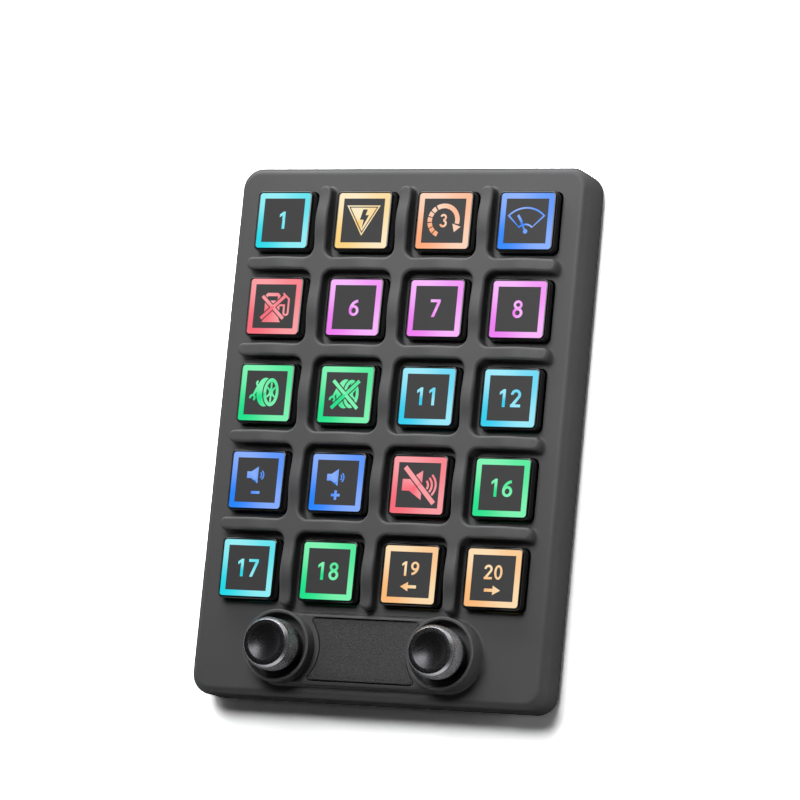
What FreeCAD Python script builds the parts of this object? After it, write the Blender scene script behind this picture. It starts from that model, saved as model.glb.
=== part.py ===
import FreeCAD, Part
import math
import os

# Panel with illuminated push keys and two push-turn knobs, lying on its back.
# Millimetres. +Z leaves the face, +Y points to the top of the panel, and the
# origin is under the middle of the panel, on the plane that the feet stand on.

# Key layout
KEY_PITCH = 26.0
KEY_COLUMNS = 4
KEY_ROWS = 5
SIDE_MARGIN = 17.0
TOP_MARGIN = 17.0
LOWER_MARGIN = 37.0

# Front housing
HOUSING_DEPTH = 12.2
CORNER_RADIUS = 6.2
FACE_EDGE_RADIUS = 2.5
SIDE_WALL = 2.4
FACE_WALL = 2.4
RIM_WALL = 1.2

# Finger ribs between the keys
RIB_WIDTH = 3.8
RIB_OVERRUN = 10.5
RIB_NOSE = 1.2
RIB_CORNER = 1.8
RIB_EDGE = 0.9
CREST_HIGH = 5.3
CREST_LOW = 4.5
CREST_RISE = 8.4

# Keys
CAP_WIDTH = 18.2
CAP_CORNER = 1.0
CAP_EDGE = 0.5
CAP_STAND = 3.7
CAP_SKIRT = 1.5
CAP_WALL = 0.8
CAP_GAP = 0.3
KEY_TRAVEL = 3.0
LIGHT_SINK = 0.1
LIGHT_THICKNESS = 1.6
LABEL_WIDTH = 13.2
LABEL_THICKNESS = 0.35

# Key switches and their lamps
SWITCH_WIDTH = 13.8
STEM_WIDTH = 6.4
STEM_DEPTH = 4.4
STEM_GAP = 0.15
STOP_GAP = 0.3
LAMP_WIDTH = 3.4
LAMP_DEPTH = 2.8
LAMP_HEIGHT = 1.4
LAMP_OFFSET = 4.7

# Circuit board
BOARD_THICKNESS = 1.6
BOARD_CLEARANCE = 1.6
BOARD_MARGIN = 8.3
TONGUE_WIDTH = 14.0
TONGUE_GAP = 0.3
POST_WIDTH = 5.0
CHIP_WIDTH = 10.0
CHIP_HEIGHT = 1.0
CRYSTAL_LENGTH = 5.0
CRYSTAL_WIDTH = 3.2
CRYSTAL_OFFSET = 9.5

# Rear cover, feet and mounting inserts
COVER_THICKNESS = 2.4
COVER_GAP = 0.15
FOOT_STAND = 1.5
FOOT_RADIUS = 5.0
FOOT_INSET = 12.0
MOUNT_SPACING = 75.0
INSERT_ACROSS = 5.6
INSERT_BORE = 1.65
INSERT_LENGTH = 3.4
INSERT_BOSS = 8.4

# Screws
SCREW_RADIUS = 1.2
SCREW_HEAD_RADIUS = 2.5
SCREW_HEAD_HEIGHT = 1.3
SCREW_GAP = 0.05
SCREW_TIP_GAP = 0.4
HEAD_GAP = 0.1
BOSS_WIDTH = 6.0
BOSS_INSET = 5.2

# Socket for the cable, in the top wall
SOCKET_WIDTH = 8.94
SOCKET_HEIGHT = 3.26
SOCKET_LENGTH = 7.35
SOCKET_WALL = 0.3
SOCKET_SINK = 0.3
SOCKET_GAP = 0.15
SOCKET_SLOPE = 0.3
BLADE_WIDTH = 6.7
BLADE_HEIGHT = 0.7
BLADE_LENGTH = 4.6

# Knob cups, island and name plate
KNOB_DROP = 22.6
CUP_RADIUS = 10.6
CUP_WALL = 1.0
CUP_STAND = 6.7
CUP_EDGE = 0.35
CUP_FLOOR_STAND = 1.8
CUP_FLOOR = 1.6
ISLAND_STAND = 2.6
ISLAND_EDGE = 1.0
PLATE_HEIGHT = 18.2
PLATE_RING = 1.7
PLATE_THICKNESS = 1.0
PLATE_GROOVE = 0.25
PLATE_CORNER = 1.0

# Rotary encoders
ENCODER_WIDTH = 12.0
ENCODER_BASE = 1.5
DOME_DEPTH = 0.7
ROTOR_RADIUS = 4.7
ROTOR_HEIGHT = 2.8
ROTOR_GAP = 0.1
CHAMBER_GAP = 0.3
SHAFT_RADIUS = 3.0
SHAFT_SQUARE = 4.0
SHAFT_GAP = 0.05
PUSH_TRAVEL = 0.5
BUSH_RADIUS = 3.5
BUSH_HOLE_GAP = 0.15
BUSH_SPARE = 0.9
NUT_ACROSS = 10.0
NUT_THICKNESS = 2.0

# Knobs
KNOB_RADIUS = 7.6
KNOB_STAND = 7.1
KNOB_TOP_RADIUS = 6.65
KNOB_TAPER = 1.0
GRIP_SINK = 0.2
SKIRT_RADIUS = 6.9
KNOB_LIFT = 1.1
KNOB_HOLLOW = 6.0
KNOB_HOLLOW_GAP = 0.4
KNOB_ROOF = 2.2
DISH_RADIUS = 5.2
DISH_DEPTH = 0.8
KNURL_TEETH = 24
KNURL_DEPTH = 0.35

# Flat sides that stand for a full circle on pieces that repeat
ROUND_SIDES = 20
CUP_SIDES = 36

# Levels, from the feet up
rear_z = FOOT_STAND
cover_top = rear_z + COVER_THICKNESS
board_bottom = cover_top + BOARD_CLEARANCE
board_top = board_bottom + BOARD_THICKNESS
face_z = rear_z + HOUSING_DEPTH
face_under = face_z - FACE_WALL
cap_top = face_z + CAP_STAND
cap_bottom = face_z - CAP_SKIRT
light_top = cap_top - LIGHT_SINK
light_bottom = light_top - LIGHT_THICKNESS
label_bottom = light_top - LABEL_THICKNESS
switch_top = light_bottom - KEY_TRAVEL - STOP_GAP
stem_bottom = board_top + STOP_GAP + KEY_TRAVEL
cup_top = face_z + CUP_STAND
cup_floor = face_z + CUP_FLOOR_STAND
cup_under = cup_floor - CUP_FLOOR
island_top = face_z + ISLAND_STAND
plate_bottom = island_top - PLATE_THICKNESS
nut_top = cup_floor + NUT_THICKNESS
bush_top = nut_top + BUSH_SPARE
encoder_base_top = board_top + ENCODER_BASE
dome_floor = encoder_base_top - DOME_DEPTH
rotor_bottom = encoder_base_top + ROTOR_GAP
rotor_top = rotor_bottom + ROTOR_HEIGHT
shaft_bottom = dome_floor + PUSH_TRAVEL + ROTOR_GAP
shaft_shoulder = rotor_top + PUSH_TRAVEL + ROTOR_GAP
knob_top = cup_top + KNOB_STAND
knob_bottom = cup_floor + KNOB_LIFT
grip_bottom = cup_top - GRIP_SINK
knob_hollow_top = bush_top + PUSH_TRAVEL + KNOB_HOLLOW_GAP
shaft_top = knob_top - KNOB_ROOF
shoulder = knob_top - KNOB_TAPER

# Places in plan
half_width = (KEY_COLUMNS - 1) * KEY_PITCH / 2 + SIDE_MARGIN
half_height = ((KEY_ROWS - 1) * KEY_PITCH + TOP_MARGIN + LOWER_MARGIN) / 2
key_xs = [(c - (KEY_COLUMNS - 1) / 2) * KEY_PITCH for c in range(KEY_COLUMNS)]
key_ys = [half_height - TOP_MARGIN - r * KEY_PITCH for r in range(KEY_ROWS)]
rib_xs = [x + KEY_PITCH / 2 for x in key_xs[:-1]]
rib_ys = [y - KEY_PITCH / 2 for y in key_ys[:-1]]
knob_y = key_ys[-1] - KNOB_DROP
knob_places = [("left", rib_xs[0]), ("right", rib_xs[-1])]
boss_x = half_width - BOSS_INSET
boss_y = half_height - BOSS_INSET
foot_x = half_width - FOOT_INSET
foot_y = half_height - FOOT_INSET
mount_places = [(sx * MOUNT_SPACING / 2, sy * MOUNT_SPACING / 2) for sx in (-1, 1) for sy in (-1, 1)]
foot_places = [(sx * foot_x, sy * foot_y) for sx in (-1, 1) for sy in (-1, 1)]
screw_places = [(sx * boss_x, sy * boss_y) for sx in (-1, 1) for sy in (-1, 1)]
crest_radius = (CREST_RISE ** 2 + (CREST_HIGH - CREST_LOW) ** 2) / (2 * (CREST_HIGH - CREST_LOW))
post_places = [(x, y) for x in (rib_xs[0], rib_xs[-1]) for y in (rib_ys[0], rib_ys[-1])]
BEYOND = 1.0


def vec(x, y, z):
    return FreeCAD.Vector(x, y, z)


def disc(x, y, radius, low, high):
    return Part.makeCylinder(radius, high - low, vec(x, y, low))


def block(x, y, width, depth, low, high):
    return Part.makeBox(width, depth, high - low, vec(x - width / 2, y - depth / 2, low))


def upright_edges(shape):
    return [e for e in shape.Edges if abs(e.tangentAt(e.FirstParameter).z) > 0.99]


def round_block(x, y, width, depth, radius, low, high):
    plain = block(x, y, width, depth, low, high)
    return plain.makeFillet(radius, upright_edges(plain))


def bevel_block(x, y, width, depth, bevel, low, high):
    plain = block(x, y, width, depth, low, high)
    return plain.makeChamfer(bevel, upright_edges(plain))


def edges_at(shape, level):
    """Edges that lie wholly at one height."""
    return [e for e in shape.Edges if e.BoundBox.ZMax - e.BoundBox.ZMin < 1e-6
            and abs(e.BoundBox.ZMin - level) < 1e-6]


def ring(x, y, radii, level):
    """Points round an upright axis, one for each radius."""
    step = 2 * math.pi / len(radii)
    return [vec(x + r * math.cos(i * step), y + r * math.sin(i * step), level) for i, r in enumerate(radii)]


def stack(rings):
    """Solid between two rings, or through more: flat triangles join each ring to the next."""
    faces = [Part.Face(Part.makePolygon(end + end[:1])) for end in (rings[0], rings[-1])]
    for lower, upper in zip(rings, rings[1:]):
        for i in range(len(lower)):
            a, b, c, d = lower[i - 1], lower[i], upper[i], upper[i - 1]
            faces.append(Part.Face(Part.makePolygon([a, b, c, a])))
            faces.append(Part.Face(Part.makePolygon([a, c, d, a])))
    solid = Part.Solid(Part.Shell(faces))
    solid.fixTolerance(1e-7)
    return solid.removeSplitter() if solid.Volume > 0 else solid.reversed().removeSplitter()


def rod(x, y, radius, low, high):
    """Small round bar, drawn with flat sides."""
    return stack([ring(x, y, [radius] * ROUND_SIDES, z) for z in (low, high)])


def clear_rod(x, y, radius, low, high):
    """The same, with flats outside the radius, so that as a hole it clears a round bar."""
    return rod(x, y, radius / math.cos(math.pi / ROUND_SIDES), low, high)


def save(name, *solids):
    shape = solids[0] if len(solids) == 1 else Part.makeCompound(list(solids))
    shape.exportStep("parts/" + name + ".step")
    print(name, len(shape.Solids), "solids", round(shape.Volume, 1), "mm3", shape.isValid())


# Finger ribs: a grid of bars whose crests swell beside each key

def crest_point(key, offset):
    """Point on the crown beside a key, which follows one arc with its top at the key's middle."""
    drop = crest_radius - math.sqrt(crest_radius ** 2 - offset ** 2)
    return vec(key + offset, 0, face_z + CREST_HIGH - drop)


def crest_block(keys, half_span):
    """Everything under the crest line of a bar along X, as wide as the whole face."""
    keys = sorted(keys)
    line = []
    for key in keys:
        before = RIB_OVERRUN if key == keys[0] else CREST_RISE
        after = RIB_OVERRUN if key == keys[-1] else CREST_RISE
        line += [crest_point(key, offset) for offset in (-before, -before / 2, 0, after / 2, after)]
    corners = [vec(line[-1].x, 0, face_under), vec(line[0].x, 0, face_under), line[0]]
    face = Part.Face(Part.makePolygon(line + corners))
    solid = face.extrude(vec(0, 2 * half_span, 0))
    solid.translate(vec(0, -half_span, 0))
    return solid


def bar(x0, y0, x1, y1, high):
    """One rib in plan, with bevelled noses."""
    length = math.hypot(x1 - x0, y1 - y0)
    plain = bevel_block(0, 0, length, RIB_WIDTH, RIB_NOSE, face_under, high)
    plain.rotate(vec(0, 0, 0), vec(0, 0, 1), math.degrees(math.atan2(y1 - y0, x1 - x0)))
    plain.translate(vec((x0 + x1) / 2, (y0 + y1) / 2, 0))
    return plain


def rib_grid():
    left, right = key_xs[0] - RIB_OVERRUN, key_xs[-1] + RIB_OVERRUN
    lower, upper = key_ys[-1] - RIB_OVERRUN, key_ys[0] + RIB_OVERRUN
    high = face_z + CREST_HIGH + BEYOND
    across = crest_block(key_xs, half_height)
    along = crest_block(key_ys, half_height)
    along.rotate(vec(0, 0, 0), vec(0, 0, 1), 90)
    bars_across = [bar(left, y, right, y, high).common(across) for y in rib_ys]
    bars_along = [bar(x, lower, x, upper, high).common(along) for x in rib_xs]
    grid = bars_across[0].multiFuse(bars_across[1:] + bars_along).removeSplitter()
    inner = [e for e in upright_edges(grid) if is_crossing_corner(e)]
    grid = grid.makeChamfer(RIB_CORNER, inner)
    return grid.makeChamfer(RIB_EDGE, crest_edges(grid))


def is_crossing_corner(edge):
    point = edge.CenterOfMass
    near_x = min(abs(abs(point.x - x) - RIB_WIDTH / 2) for x in rib_xs)
    near_y = min(abs(abs(point.y - y) - RIB_WIDTH / 2) for y in rib_ys)
    return near_x < 1e-3 and near_y < 1e-3


def crest_edges(grid):
    """Edges between an upright flank and the crest."""
    found = []
    for edge in grid.Edges:
        if edge.BoundBox.ZMin < face_z:
            continue
        flanks = [f for f in grid.ancestorsOfType(edge, Part.Face) if is_upright(f)]
        if len(flanks) == 1:
            found.append(edge)
    return found


def is_upright(face):
    u0, u1, v0, v1 = face.ParameterRange
    return abs(face.normalAt((u0 + u1) / 2, (v0 + v1) / 2).z) < 1e-3


# Knob cups and the island between them

def cup_outside(x):
    profile = [(CUP_RADIUS, face_under), (CUP_RADIUS, cup_top - CUP_EDGE), (CUP_RADIUS - CUP_EDGE, cup_top)]
    return stack([ring(x, knob_y, [radius] * CUP_SIDES, z) for radius, z in profile])


def cup_inside(x):
    """The hollow of the cup, the bushing's hole in its floor, and the encoder's pocket under it."""
    inner = [CUP_RADIUS - CUP_WALL] * CUP_SIDES
    hollow = stack([ring(x, knob_y, inner, z) for z in (cup_floor, cup_top + BEYOND)])
    hole = clear_rod(x, knob_y, BUSH_RADIUS + BUSH_HOLE_GAP, cup_under - BEYOND, cup_floor + BEYOND)
    width = ENCODER_WIDTH + 2 * CHAMBER_GAP
    pocket = block(x, knob_y, width, width, face_under - BEYOND, cup_under)
    return hollow.multiFuse([hole, pocket])


def island():
    spread = knob_places[1][1] - knob_places[0][1]
    middle = (knob_places[0][1] + knob_places[1][1]) / 2
    plain = block(middle, knob_y, spread, 2 * CUP_RADIUS, face_under, island_top)
    long_edges = [e for e in edges_at(plain, island_top) if e.BoundBox.XLength > e.BoundBox.YLength]
    return plain.makeFillet(ISLAND_EDGE, long_edges)


def plate_shape(gap, low, high):
    """Name plate: a bar cut by rings round both knobs, with rounded corners."""
    middle = (knob_places[0][1] + knob_places[1][1]) / 2
    spread = knob_places[1][1] - knob_places[0][1]
    shape = block(middle, knob_y, spread, PLATE_HEIGHT + 2 * gap, low, high)
    for _, x in knob_places:
        shape = shape.cut(disc(x, knob_y, CUP_RADIUS + PLATE_RING - gap, low - BEYOND, high + BEYOND))
    middle_piece = min(shape.Solids, key=lambda s: abs(s.CenterOfMass.x - middle))
    return middle_piece.makeChamfer(PLATE_CORNER, upright_edges(middle_piece))


# Front housing

def cap_opening(x, y):
    width = CAP_WIDTH + 2 * CAP_GAP
    return block(x, y, width, width, face_under - BEYOND, face_z + BEYOND)


def socket_level():
    return board_top + SOCKET_HEIGHT / 2


def socket_bar(gap, y0, y1):
    """A bar with sloped corners along Y, at the socket's place."""
    height = SOCKET_HEIGHT + 2 * gap
    width = SOCKET_WIDTH + 2 * gap
    plain = Part.makeBox(width, y1 - y0, height, vec(-width / 2, y0, socket_level() - height / 2))
    corners = [e for e in plain.Edges if abs(e.tangentAt(e.FirstParameter).y) > 0.99]
    return plain.makeChamfer(height * SOCKET_SLOPE, corners)


def outer_body():
    body = round_block(0, 0, 2 * half_width, 2 * half_height, CORNER_RADIUS, rear_z, face_z)
    return body.makeFillet(FACE_EDGE_RADIUS, edges_at(body, face_z))


def wall_inset(inset, low, high):
    return round_block(0, 0, 2 * (half_width - inset), 2 * (half_height - inset),
                       CORNER_RADIUS - inset, low, high)


def front_housing():
    cavity = wall_inset(SIDE_WALL, rear_z - BEYOND, face_under)
    rebate = wall_inset(RIM_WALL, rear_z - BEYOND, cover_top)
    body = outer_body().cut(cavity).cut(rebate)
    bosses = [block(x, y, BOSS_WIDTH, BOSS_WIDTH, cover_top, face_under + BEYOND) for x, y in screw_places]
    posts = [block(x, y, POST_WIDTH, POST_WIDTH, board_top, face_under + BEYOND) for x, y in post_places]
    cups = [cup_outside(x) for _, x in knob_places]
    body = body.multiFuse(bosses + posts + cups + [island(), rib_grid()])
    cuts = [cap_opening(x, y) for x in key_xs for y in key_ys]
    cuts += [cup_inside(x) for _, x in knob_places]
    cuts += [plate_shape(PLATE_GROOVE, plate_bottom, island_top + BEYOND)]
    cuts += [socket_bar(SOCKET_GAP, half_height - SIDE_WALL - BEYOND, half_height + BEYOND)]
    cuts += [rod(x, y, SCREW_RADIUS + SCREW_GAP, cover_top - BEYOND, face_under) for x, y in screw_places]
    return body.cut(Part.makeCompound(cuts)).removeSplitter()


# Rear cover with its posts, screws and inserts

def back_cover():
    body = wall_inset(RIM_WALL + COVER_GAP, rear_z, cover_top)
    bosses = [block(x, y, INSERT_BOSS, INSERT_BOSS, rear_z, rear_z + INSERT_LENGTH) for x, y in mount_places]
    posts = [block(x, y, POST_WIDTH, POST_WIDTH, rear_z, board_bottom) for x, y in post_places]
    body = body.multiFuse(bosses + posts)
    cuts = [hexagon(x, y, INSERT_ACROSS, rear_z - BEYOND, board_bottom) for x, y in mount_places]
    cuts += [screw(x, y, HEAD_GAP, cover_top + BEYOND) for x, y in screw_places]
    return body.cut(Part.makeCompound(cuts)).removeSplitter()


def hexagon(x, y, across, low, high):
    reach = across / math.sqrt(3)
    turns = [math.radians(60 * i) for i in range(7)]
    corners = [vec(x + reach * math.cos(a), y + reach * math.sin(a), low) for a in turns]
    return Part.Face(Part.makePolygon(corners)).extrude(vec(0, 0, high - low))


def screw(x, y, gap, shank_top):
    """Flat-headed screw sunk in the cover, or with a gap the stepped hole that clears it."""
    head = rod(x, y, SCREW_HEAD_RADIUS + gap, rear_z, rear_z + SCREW_HEAD_HEIGHT)
    return head.fuse(rod(x, y, SCREW_RADIUS + gap, rear_z, shank_top)).removeSplitter()


def insert(x, y):
    body = hexagon(x, y, INSERT_ACROSS, rear_z, rear_z + INSERT_LENGTH)
    return body.cut(disc(x, y, INSERT_BORE, rear_z - BEYOND, rear_z + INSERT_LENGTH + BEYOND))


# Circuit board and what is soldered to it

def circuit_board():
    left, right = key_xs[0] - BOARD_MARGIN, key_xs[-1] + BOARD_MARGIN
    lower, upper = knob_y - BOARD_MARGIN, key_ys[0] + BOARD_MARGIN
    tongue_end = half_height - SIDE_WALL - TONGUE_GAP
    body = Part.makeBox(right - left, upper - lower, BOARD_THICKNESS, vec(left, lower, board_bottom))
    tongue = Part.makeBox(TONGUE_WIDTH, tongue_end - upper + BEYOND, BOARD_THICKNESS,
                          vec(-TONGUE_WIDTH / 2, upper - BEYOND, board_bottom))
    return body.fuse(tongue).removeSplitter()


def lamp_y(y):
    return y - LAMP_OFFSET


def switch_body(x, y):
    """Square housing with one well for the key's stem and the lamp beside it."""
    body = block(x, y, SWITCH_WIDTH, SWITCH_WIDTH, board_top, switch_top)
    upper = y + STEM_DEPTH / 2 + STEM_GAP
    lower = lamp_y(y) - LAMP_DEPTH / 2 - STEM_GAP
    return body.cut(block(x, (upper + lower) / 2, STEM_WIDTH + 2 * STEM_GAP, upper - lower,
                          board_top - BEYOND, switch_top + BEYOND))


def lamp(x, y):
    return block(x, lamp_y(y), LAMP_WIDTH, LAMP_DEPTH, board_top, board_top + LAMP_HEIGHT)


def controller_chips():
    chip = block(0, knob_y, CHIP_WIDTH, CHIP_WIDTH, board_top, board_top + CHIP_HEIGHT)
    crystal = block(CRYSTAL_OFFSET, knob_y, CRYSTAL_WIDTH, CRYSTAL_LENGTH, board_top, board_top + CHIP_HEIGHT)
    return [chip, crystal]


def usb_socket():
    mouth = half_height - SOCKET_SINK
    shell = socket_bar(0, mouth - SOCKET_LENGTH, mouth)
    hollow = socket_bar(-SOCKET_WALL, mouth - SOCKET_LENGTH + 2 * SOCKET_WALL, mouth + BEYOND)
    blade_start = mouth - SOCKET_LENGTH + SOCKET_WALL
    blade = Part.makeBox(BLADE_WIDTH, BLADE_LENGTH, BLADE_HEIGHT,
                         vec(-BLADE_WIDTH / 2, blade_start, socket_level() - BLADE_HEIGHT / 2))
    return shell.cut(hollow).fuse(blade)


# Rotary encoders

def encoder_base(x):
    """Base with the pocket of the push dome, wide enough for the square shaft to turn in."""
    base = block(x, knob_y, ENCODER_WIDTH, ENCODER_WIDTH, board_top, encoder_base_top)
    width = SHAFT_SQUARE * math.sqrt(2) + 2 * CHAMBER_GAP
    return base.cut(block(x, knob_y, width, width, dome_floor, encoder_base_top + BEYOND))


def encoder_frame(x):
    frame = block(x, knob_y, ENCODER_WIDTH, ENCODER_WIDTH, encoder_base_top, cup_under)
    frame = frame.fuse(rod(x, knob_y, BUSH_RADIUS, cup_under - BEYOND, bush_top))
    chamber = 2 * (ROTOR_RADIUS + CHAMBER_GAP)
    chamber_top = rotor_top + ROTOR_GAP
    frame = frame.cut(block(x, knob_y, chamber, chamber, encoder_base_top - BEYOND, chamber_top))
    return frame.cut(clear_rod(x, knob_y, SHAFT_RADIUS + SHAFT_GAP, chamber_top - BEYOND, bush_top + BEYOND))


def encoder_rotor(x):
    side = SHAFT_SQUARE + 2 * SHAFT_GAP
    wheel = rod(x, knob_y, ROTOR_RADIUS, rotor_bottom, rotor_top)
    return wheel.cut(block(x, knob_y, side, side, rotor_bottom - BEYOND, rotor_top + BEYOND))


def encoder_shaft(x):
    square = block(x, knob_y, SHAFT_SQUARE, SHAFT_SQUARE, shaft_bottom, shaft_shoulder)
    return square.fuse(rod(x, knob_y, SHAFT_RADIUS, shaft_shoulder, shaft_top))


def encoder_nut(x):
    body = hexagon(x, knob_y, NUT_ACROSS, cup_floor, nut_top)
    return body.cut(clear_rod(x, knob_y, BUSH_RADIUS, cup_floor - BEYOND, nut_top + BEYOND))


# Knobs

def grip(x):
    """Upright teeth round the grip, which fade out in the taper above them, and a plain skirt below."""
    toothed = [KNOB_RADIUS, KNOB_RADIUS - KNURL_DEPTH] * KNURL_TEETH
    smooth = [KNOB_TOP_RADIUS] * len(toothed)
    teeth = stack([ring(x, knob_y, toothed, grip_bottom), ring(x, knob_y, toothed, shoulder),
                   ring(x, knob_y, smooth, knob_top)])
    return teeth.fuse(rod(x, knob_y, SKIRT_RADIUS, knob_bottom, grip_bottom + BEYOND)).removeSplitter()


def dish(x):
    """Hollow in the top, with the depth of a shallow bowl at each ring."""
    rings = []
    for share in (0.3, 0.7, 1.0):
        depth = DISH_DEPTH * (1 - share ** 2)
        rings.append(ring(x, knob_y, [share * DISH_RADIUS] * ROUND_SIDES, knob_top - depth))
    rings.append(ring(x, knob_y, [DISH_RADIUS] * ROUND_SIDES, knob_top + BEYOND))
    return stack(rings)


def knob(x):
    body = grip(x).cut(dish(x))
    body = body.cut(rod(x, knob_y, KNOB_HOLLOW, knob_bottom - BEYOND, knob_hollow_top))
    return body.cut(rod(x, knob_y, SHAFT_RADIUS, knob_hollow_top - BEYOND, shaft_top))


# Keys

def key_cap(x, y):
    """Open shell round the light guide, and the label that lies in the guide's recess."""
    outer = bevel_block(x, y, CAP_WIDTH, CAP_WIDTH, CAP_CORNER, cap_bottom, cap_top)
    outer = outer.makeChamfer(CAP_EDGE, edges_at(outer, cap_top))
    inner_width = CAP_WIDTH - 2 * CAP_WALL
    shell = outer.cut(block(x, y, inner_width, inner_width, cap_bottom - BEYOND, cap_top + BEYOND))
    return [shell, block(x, y, LABEL_WIDTH, LABEL_WIDTH, label_bottom, cap_top)]


def key_light(x, y):
    """Light guide that shows as a frame round the label, and the switch stem under it."""
    width = CAP_WIDTH - 2 * CAP_WALL
    plate = block(x, y, width, width, light_bottom, light_top)
    plate = plate.cut(block(x, y, LABEL_WIDTH, LABEL_WIDTH, label_bottom, light_top + BEYOND))
    return plate.fuse(block(x, y, STEM_WIDTH, STEM_DEPTH, stem_bottom, light_bottom))


def build():
    os.makedirs("parts", exist_ok=True)
    save("front_housing", front_housing())
    save("back_cover", back_cover())
    save("name_plate", plate_shape(0, plate_bottom, island_top))
    save("circuit_board", circuit_board())
    save("controller_chips", *controller_chips())
    save("key_lamps", *[lamp(x, y) for y in key_ys for x in key_xs])
    save("switch_bodies", *[switch_body(x, y) for y in key_ys for x in key_xs])
    save("usb_socket", usb_socket())
    save("rubber_feet", *[rod(x, y, FOOT_RADIUS, 0, rear_z) for x, y in foot_places])
    save("mount_inserts", *[insert(x, y) for x, y in mount_places])
    save("cover_screws", *[screw(x, y, 0, face_under - SCREW_TIP_GAP) for x, y in screw_places])
    save("encoder_bodies", *[piece(x) for _, x in knob_places for piece in (encoder_base, encoder_frame)])
    save("encoder_nuts", *[encoder_nut(x) for _, x in knob_places])
    for side, x in knob_places:
        save("encoder_rotor_" + side, encoder_rotor(x))
        save("encoder_shaft_" + side, encoder_shaft(x))
        save("knob_" + side, knob(x))
    number = 0
    for y in key_ys:
        for x in key_xs:
            number += 1
            save(f"key_cap_{number:02d}", *key_cap(x, y))
            save(f"key_light_{number:02d}", key_light(x, y))


build()
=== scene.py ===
import math
from contextlib import contextmanager

import bmesh
import bpy
from mathutils import Matrix, Vector


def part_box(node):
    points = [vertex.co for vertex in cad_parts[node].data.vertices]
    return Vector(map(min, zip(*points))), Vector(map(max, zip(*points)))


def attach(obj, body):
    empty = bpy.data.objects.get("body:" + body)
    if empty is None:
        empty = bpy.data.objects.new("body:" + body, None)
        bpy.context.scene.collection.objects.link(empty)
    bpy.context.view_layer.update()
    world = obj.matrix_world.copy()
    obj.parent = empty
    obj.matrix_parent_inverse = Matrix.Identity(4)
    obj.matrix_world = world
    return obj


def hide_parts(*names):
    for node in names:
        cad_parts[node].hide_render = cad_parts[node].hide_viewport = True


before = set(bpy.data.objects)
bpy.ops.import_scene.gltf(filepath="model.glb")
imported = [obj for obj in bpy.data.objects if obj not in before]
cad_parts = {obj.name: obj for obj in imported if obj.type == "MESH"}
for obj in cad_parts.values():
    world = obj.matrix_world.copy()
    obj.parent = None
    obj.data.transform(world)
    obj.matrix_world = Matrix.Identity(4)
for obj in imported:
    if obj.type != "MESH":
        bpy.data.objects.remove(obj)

bl_info = {
    "name": "Illuminated Key Panel",
    "version": (1, 0, 0),
    "blender": (4, 5, 0),
    "location": "View3D > Sidebar > Key Panel",
    "description": "Models and finishes an illuminated key panel with two knobs round its fixed frame",
    "category": "Add Mesh",
}

MM = 0.001
SAME = 0.01 * MM             # places nearer than this are one place
WELD = 0.001 * MM            # corners nearer than this become one
STRAIGHT = 0.99              # least share of an edge's length that runs along an axis
BEYOND = 1 * MM              # how far a cutter reaches past what it cuts
SMALL_EDGE = 0.15 * MM       # rounding of a screw's head and of the socket's tongue
# Upright share of a face's normal: the most on a wall, and the least on a crest and on a flat face
WALL, CREST, FLAT = 0.2, 0.8, 0.9


# Places and levels read from the frame

def middle_of(node):
    low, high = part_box(node)
    return (low + high) / 2


KEY_NUMBERS = [f"{n:02d}" for n in range(1, 21)]
KEY_PLACES = {number: middle_of("key_cap_" + number) for number in KEY_NUMBERS}
KEY_XS = sorted({round(place.x, 6) for place in KEY_PLACES.values()})
KEY_YS = sorted({round(place.y, 6) for place in KEY_PLACES.values()})
KEY_PITCH = KEY_XS[1] - KEY_XS[0]
RIB_XS = [x + KEY_PITCH / 2 for x in KEY_XS[:-1]]
RIB_YS = [y + KEY_PITCH / 2 for y in KEY_YS[:-1]]
KEY_LINES, RIB_LINES = (KEY_XS, KEY_YS), (RIB_XS, RIB_YS)
KNOB_PLACES = {side: middle_of("knob_" + side) for side in ("left", "right")}
HOUSING_LOW, HOUSING_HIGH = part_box("front_housing")
CAP_LOW, CAP_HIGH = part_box("key_cap_01")
LIGHT_LOW, LIGHT_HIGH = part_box("key_light_01")
PLATE_LOW, PLATE_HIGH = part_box("name_plate")
KNOB_LOW, KNOB_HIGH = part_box("knob_left")
FEET_LOW, FEET_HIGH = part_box("rubber_feet")
SCREWS_LOW, SCREWS_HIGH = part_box("cover_screws")
SOCKET_LOW, SOCKET_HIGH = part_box("usb_socket")
SHAFT_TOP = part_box("encoder_shaft_left")[1].z
CUP_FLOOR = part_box("encoder_nuts")[0].z

LAMP_OF_KEY = [
    "cyan", "amber", "salmon", "blue",
    "red", "magenta", "magenta", "magenta",
    "green", "green", "sky", "sky",
    "blue", "blue", "red", "green",
    "cyan", "green", "orange", "orange",
]
# Each lamp's colour in the corners of a light guide and along its edges
LAMP_COLOURS = {
    "cyan": ("#14dcea", "#a2f4fa"),
    "amber": ("#fbd27c", "#fdf0d0"),
    "salmon": ("#ffa878", "#ffdcc4"),
    "blue": ("#1684ff", "#94b6fc"),
    "red": ("#f76a78", "#fda8ac"),
    "magenta": ("#f07af2", "#fbc0ff"),
    "green": ("#0ce48c", "#8af8ba"),
    "sky": ("#22cef0", "#aaeffd"),
    "orange": ("#fcba78", "#fee6bc"),
}


# Sizes and colours that a user may change

def linear(code):
    """Linear colour of an sRGB hex value."""
    shares = [int(code[i:i + 2], 16) / 255 for i in (1, 3, 5)]
    return tuple(s / 12.92 if s <= 0.04045 else ((s + 0.055) / 1.055) ** 2.4 for s in shares)


def size(name, description, millimetres):
    return bpy.props.FloatProperty(name=name, description=description,
                                   default=millimetres * MM, unit="LENGTH", precision=5)


def count(name, description, number):
    return bpy.props.IntProperty(name=name, description=description, default=number, min=1)


def power(name, description, watts):
    return bpy.props.FloatProperty(name=name, description=description, default=watts, min=0, unit="POWER")


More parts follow.
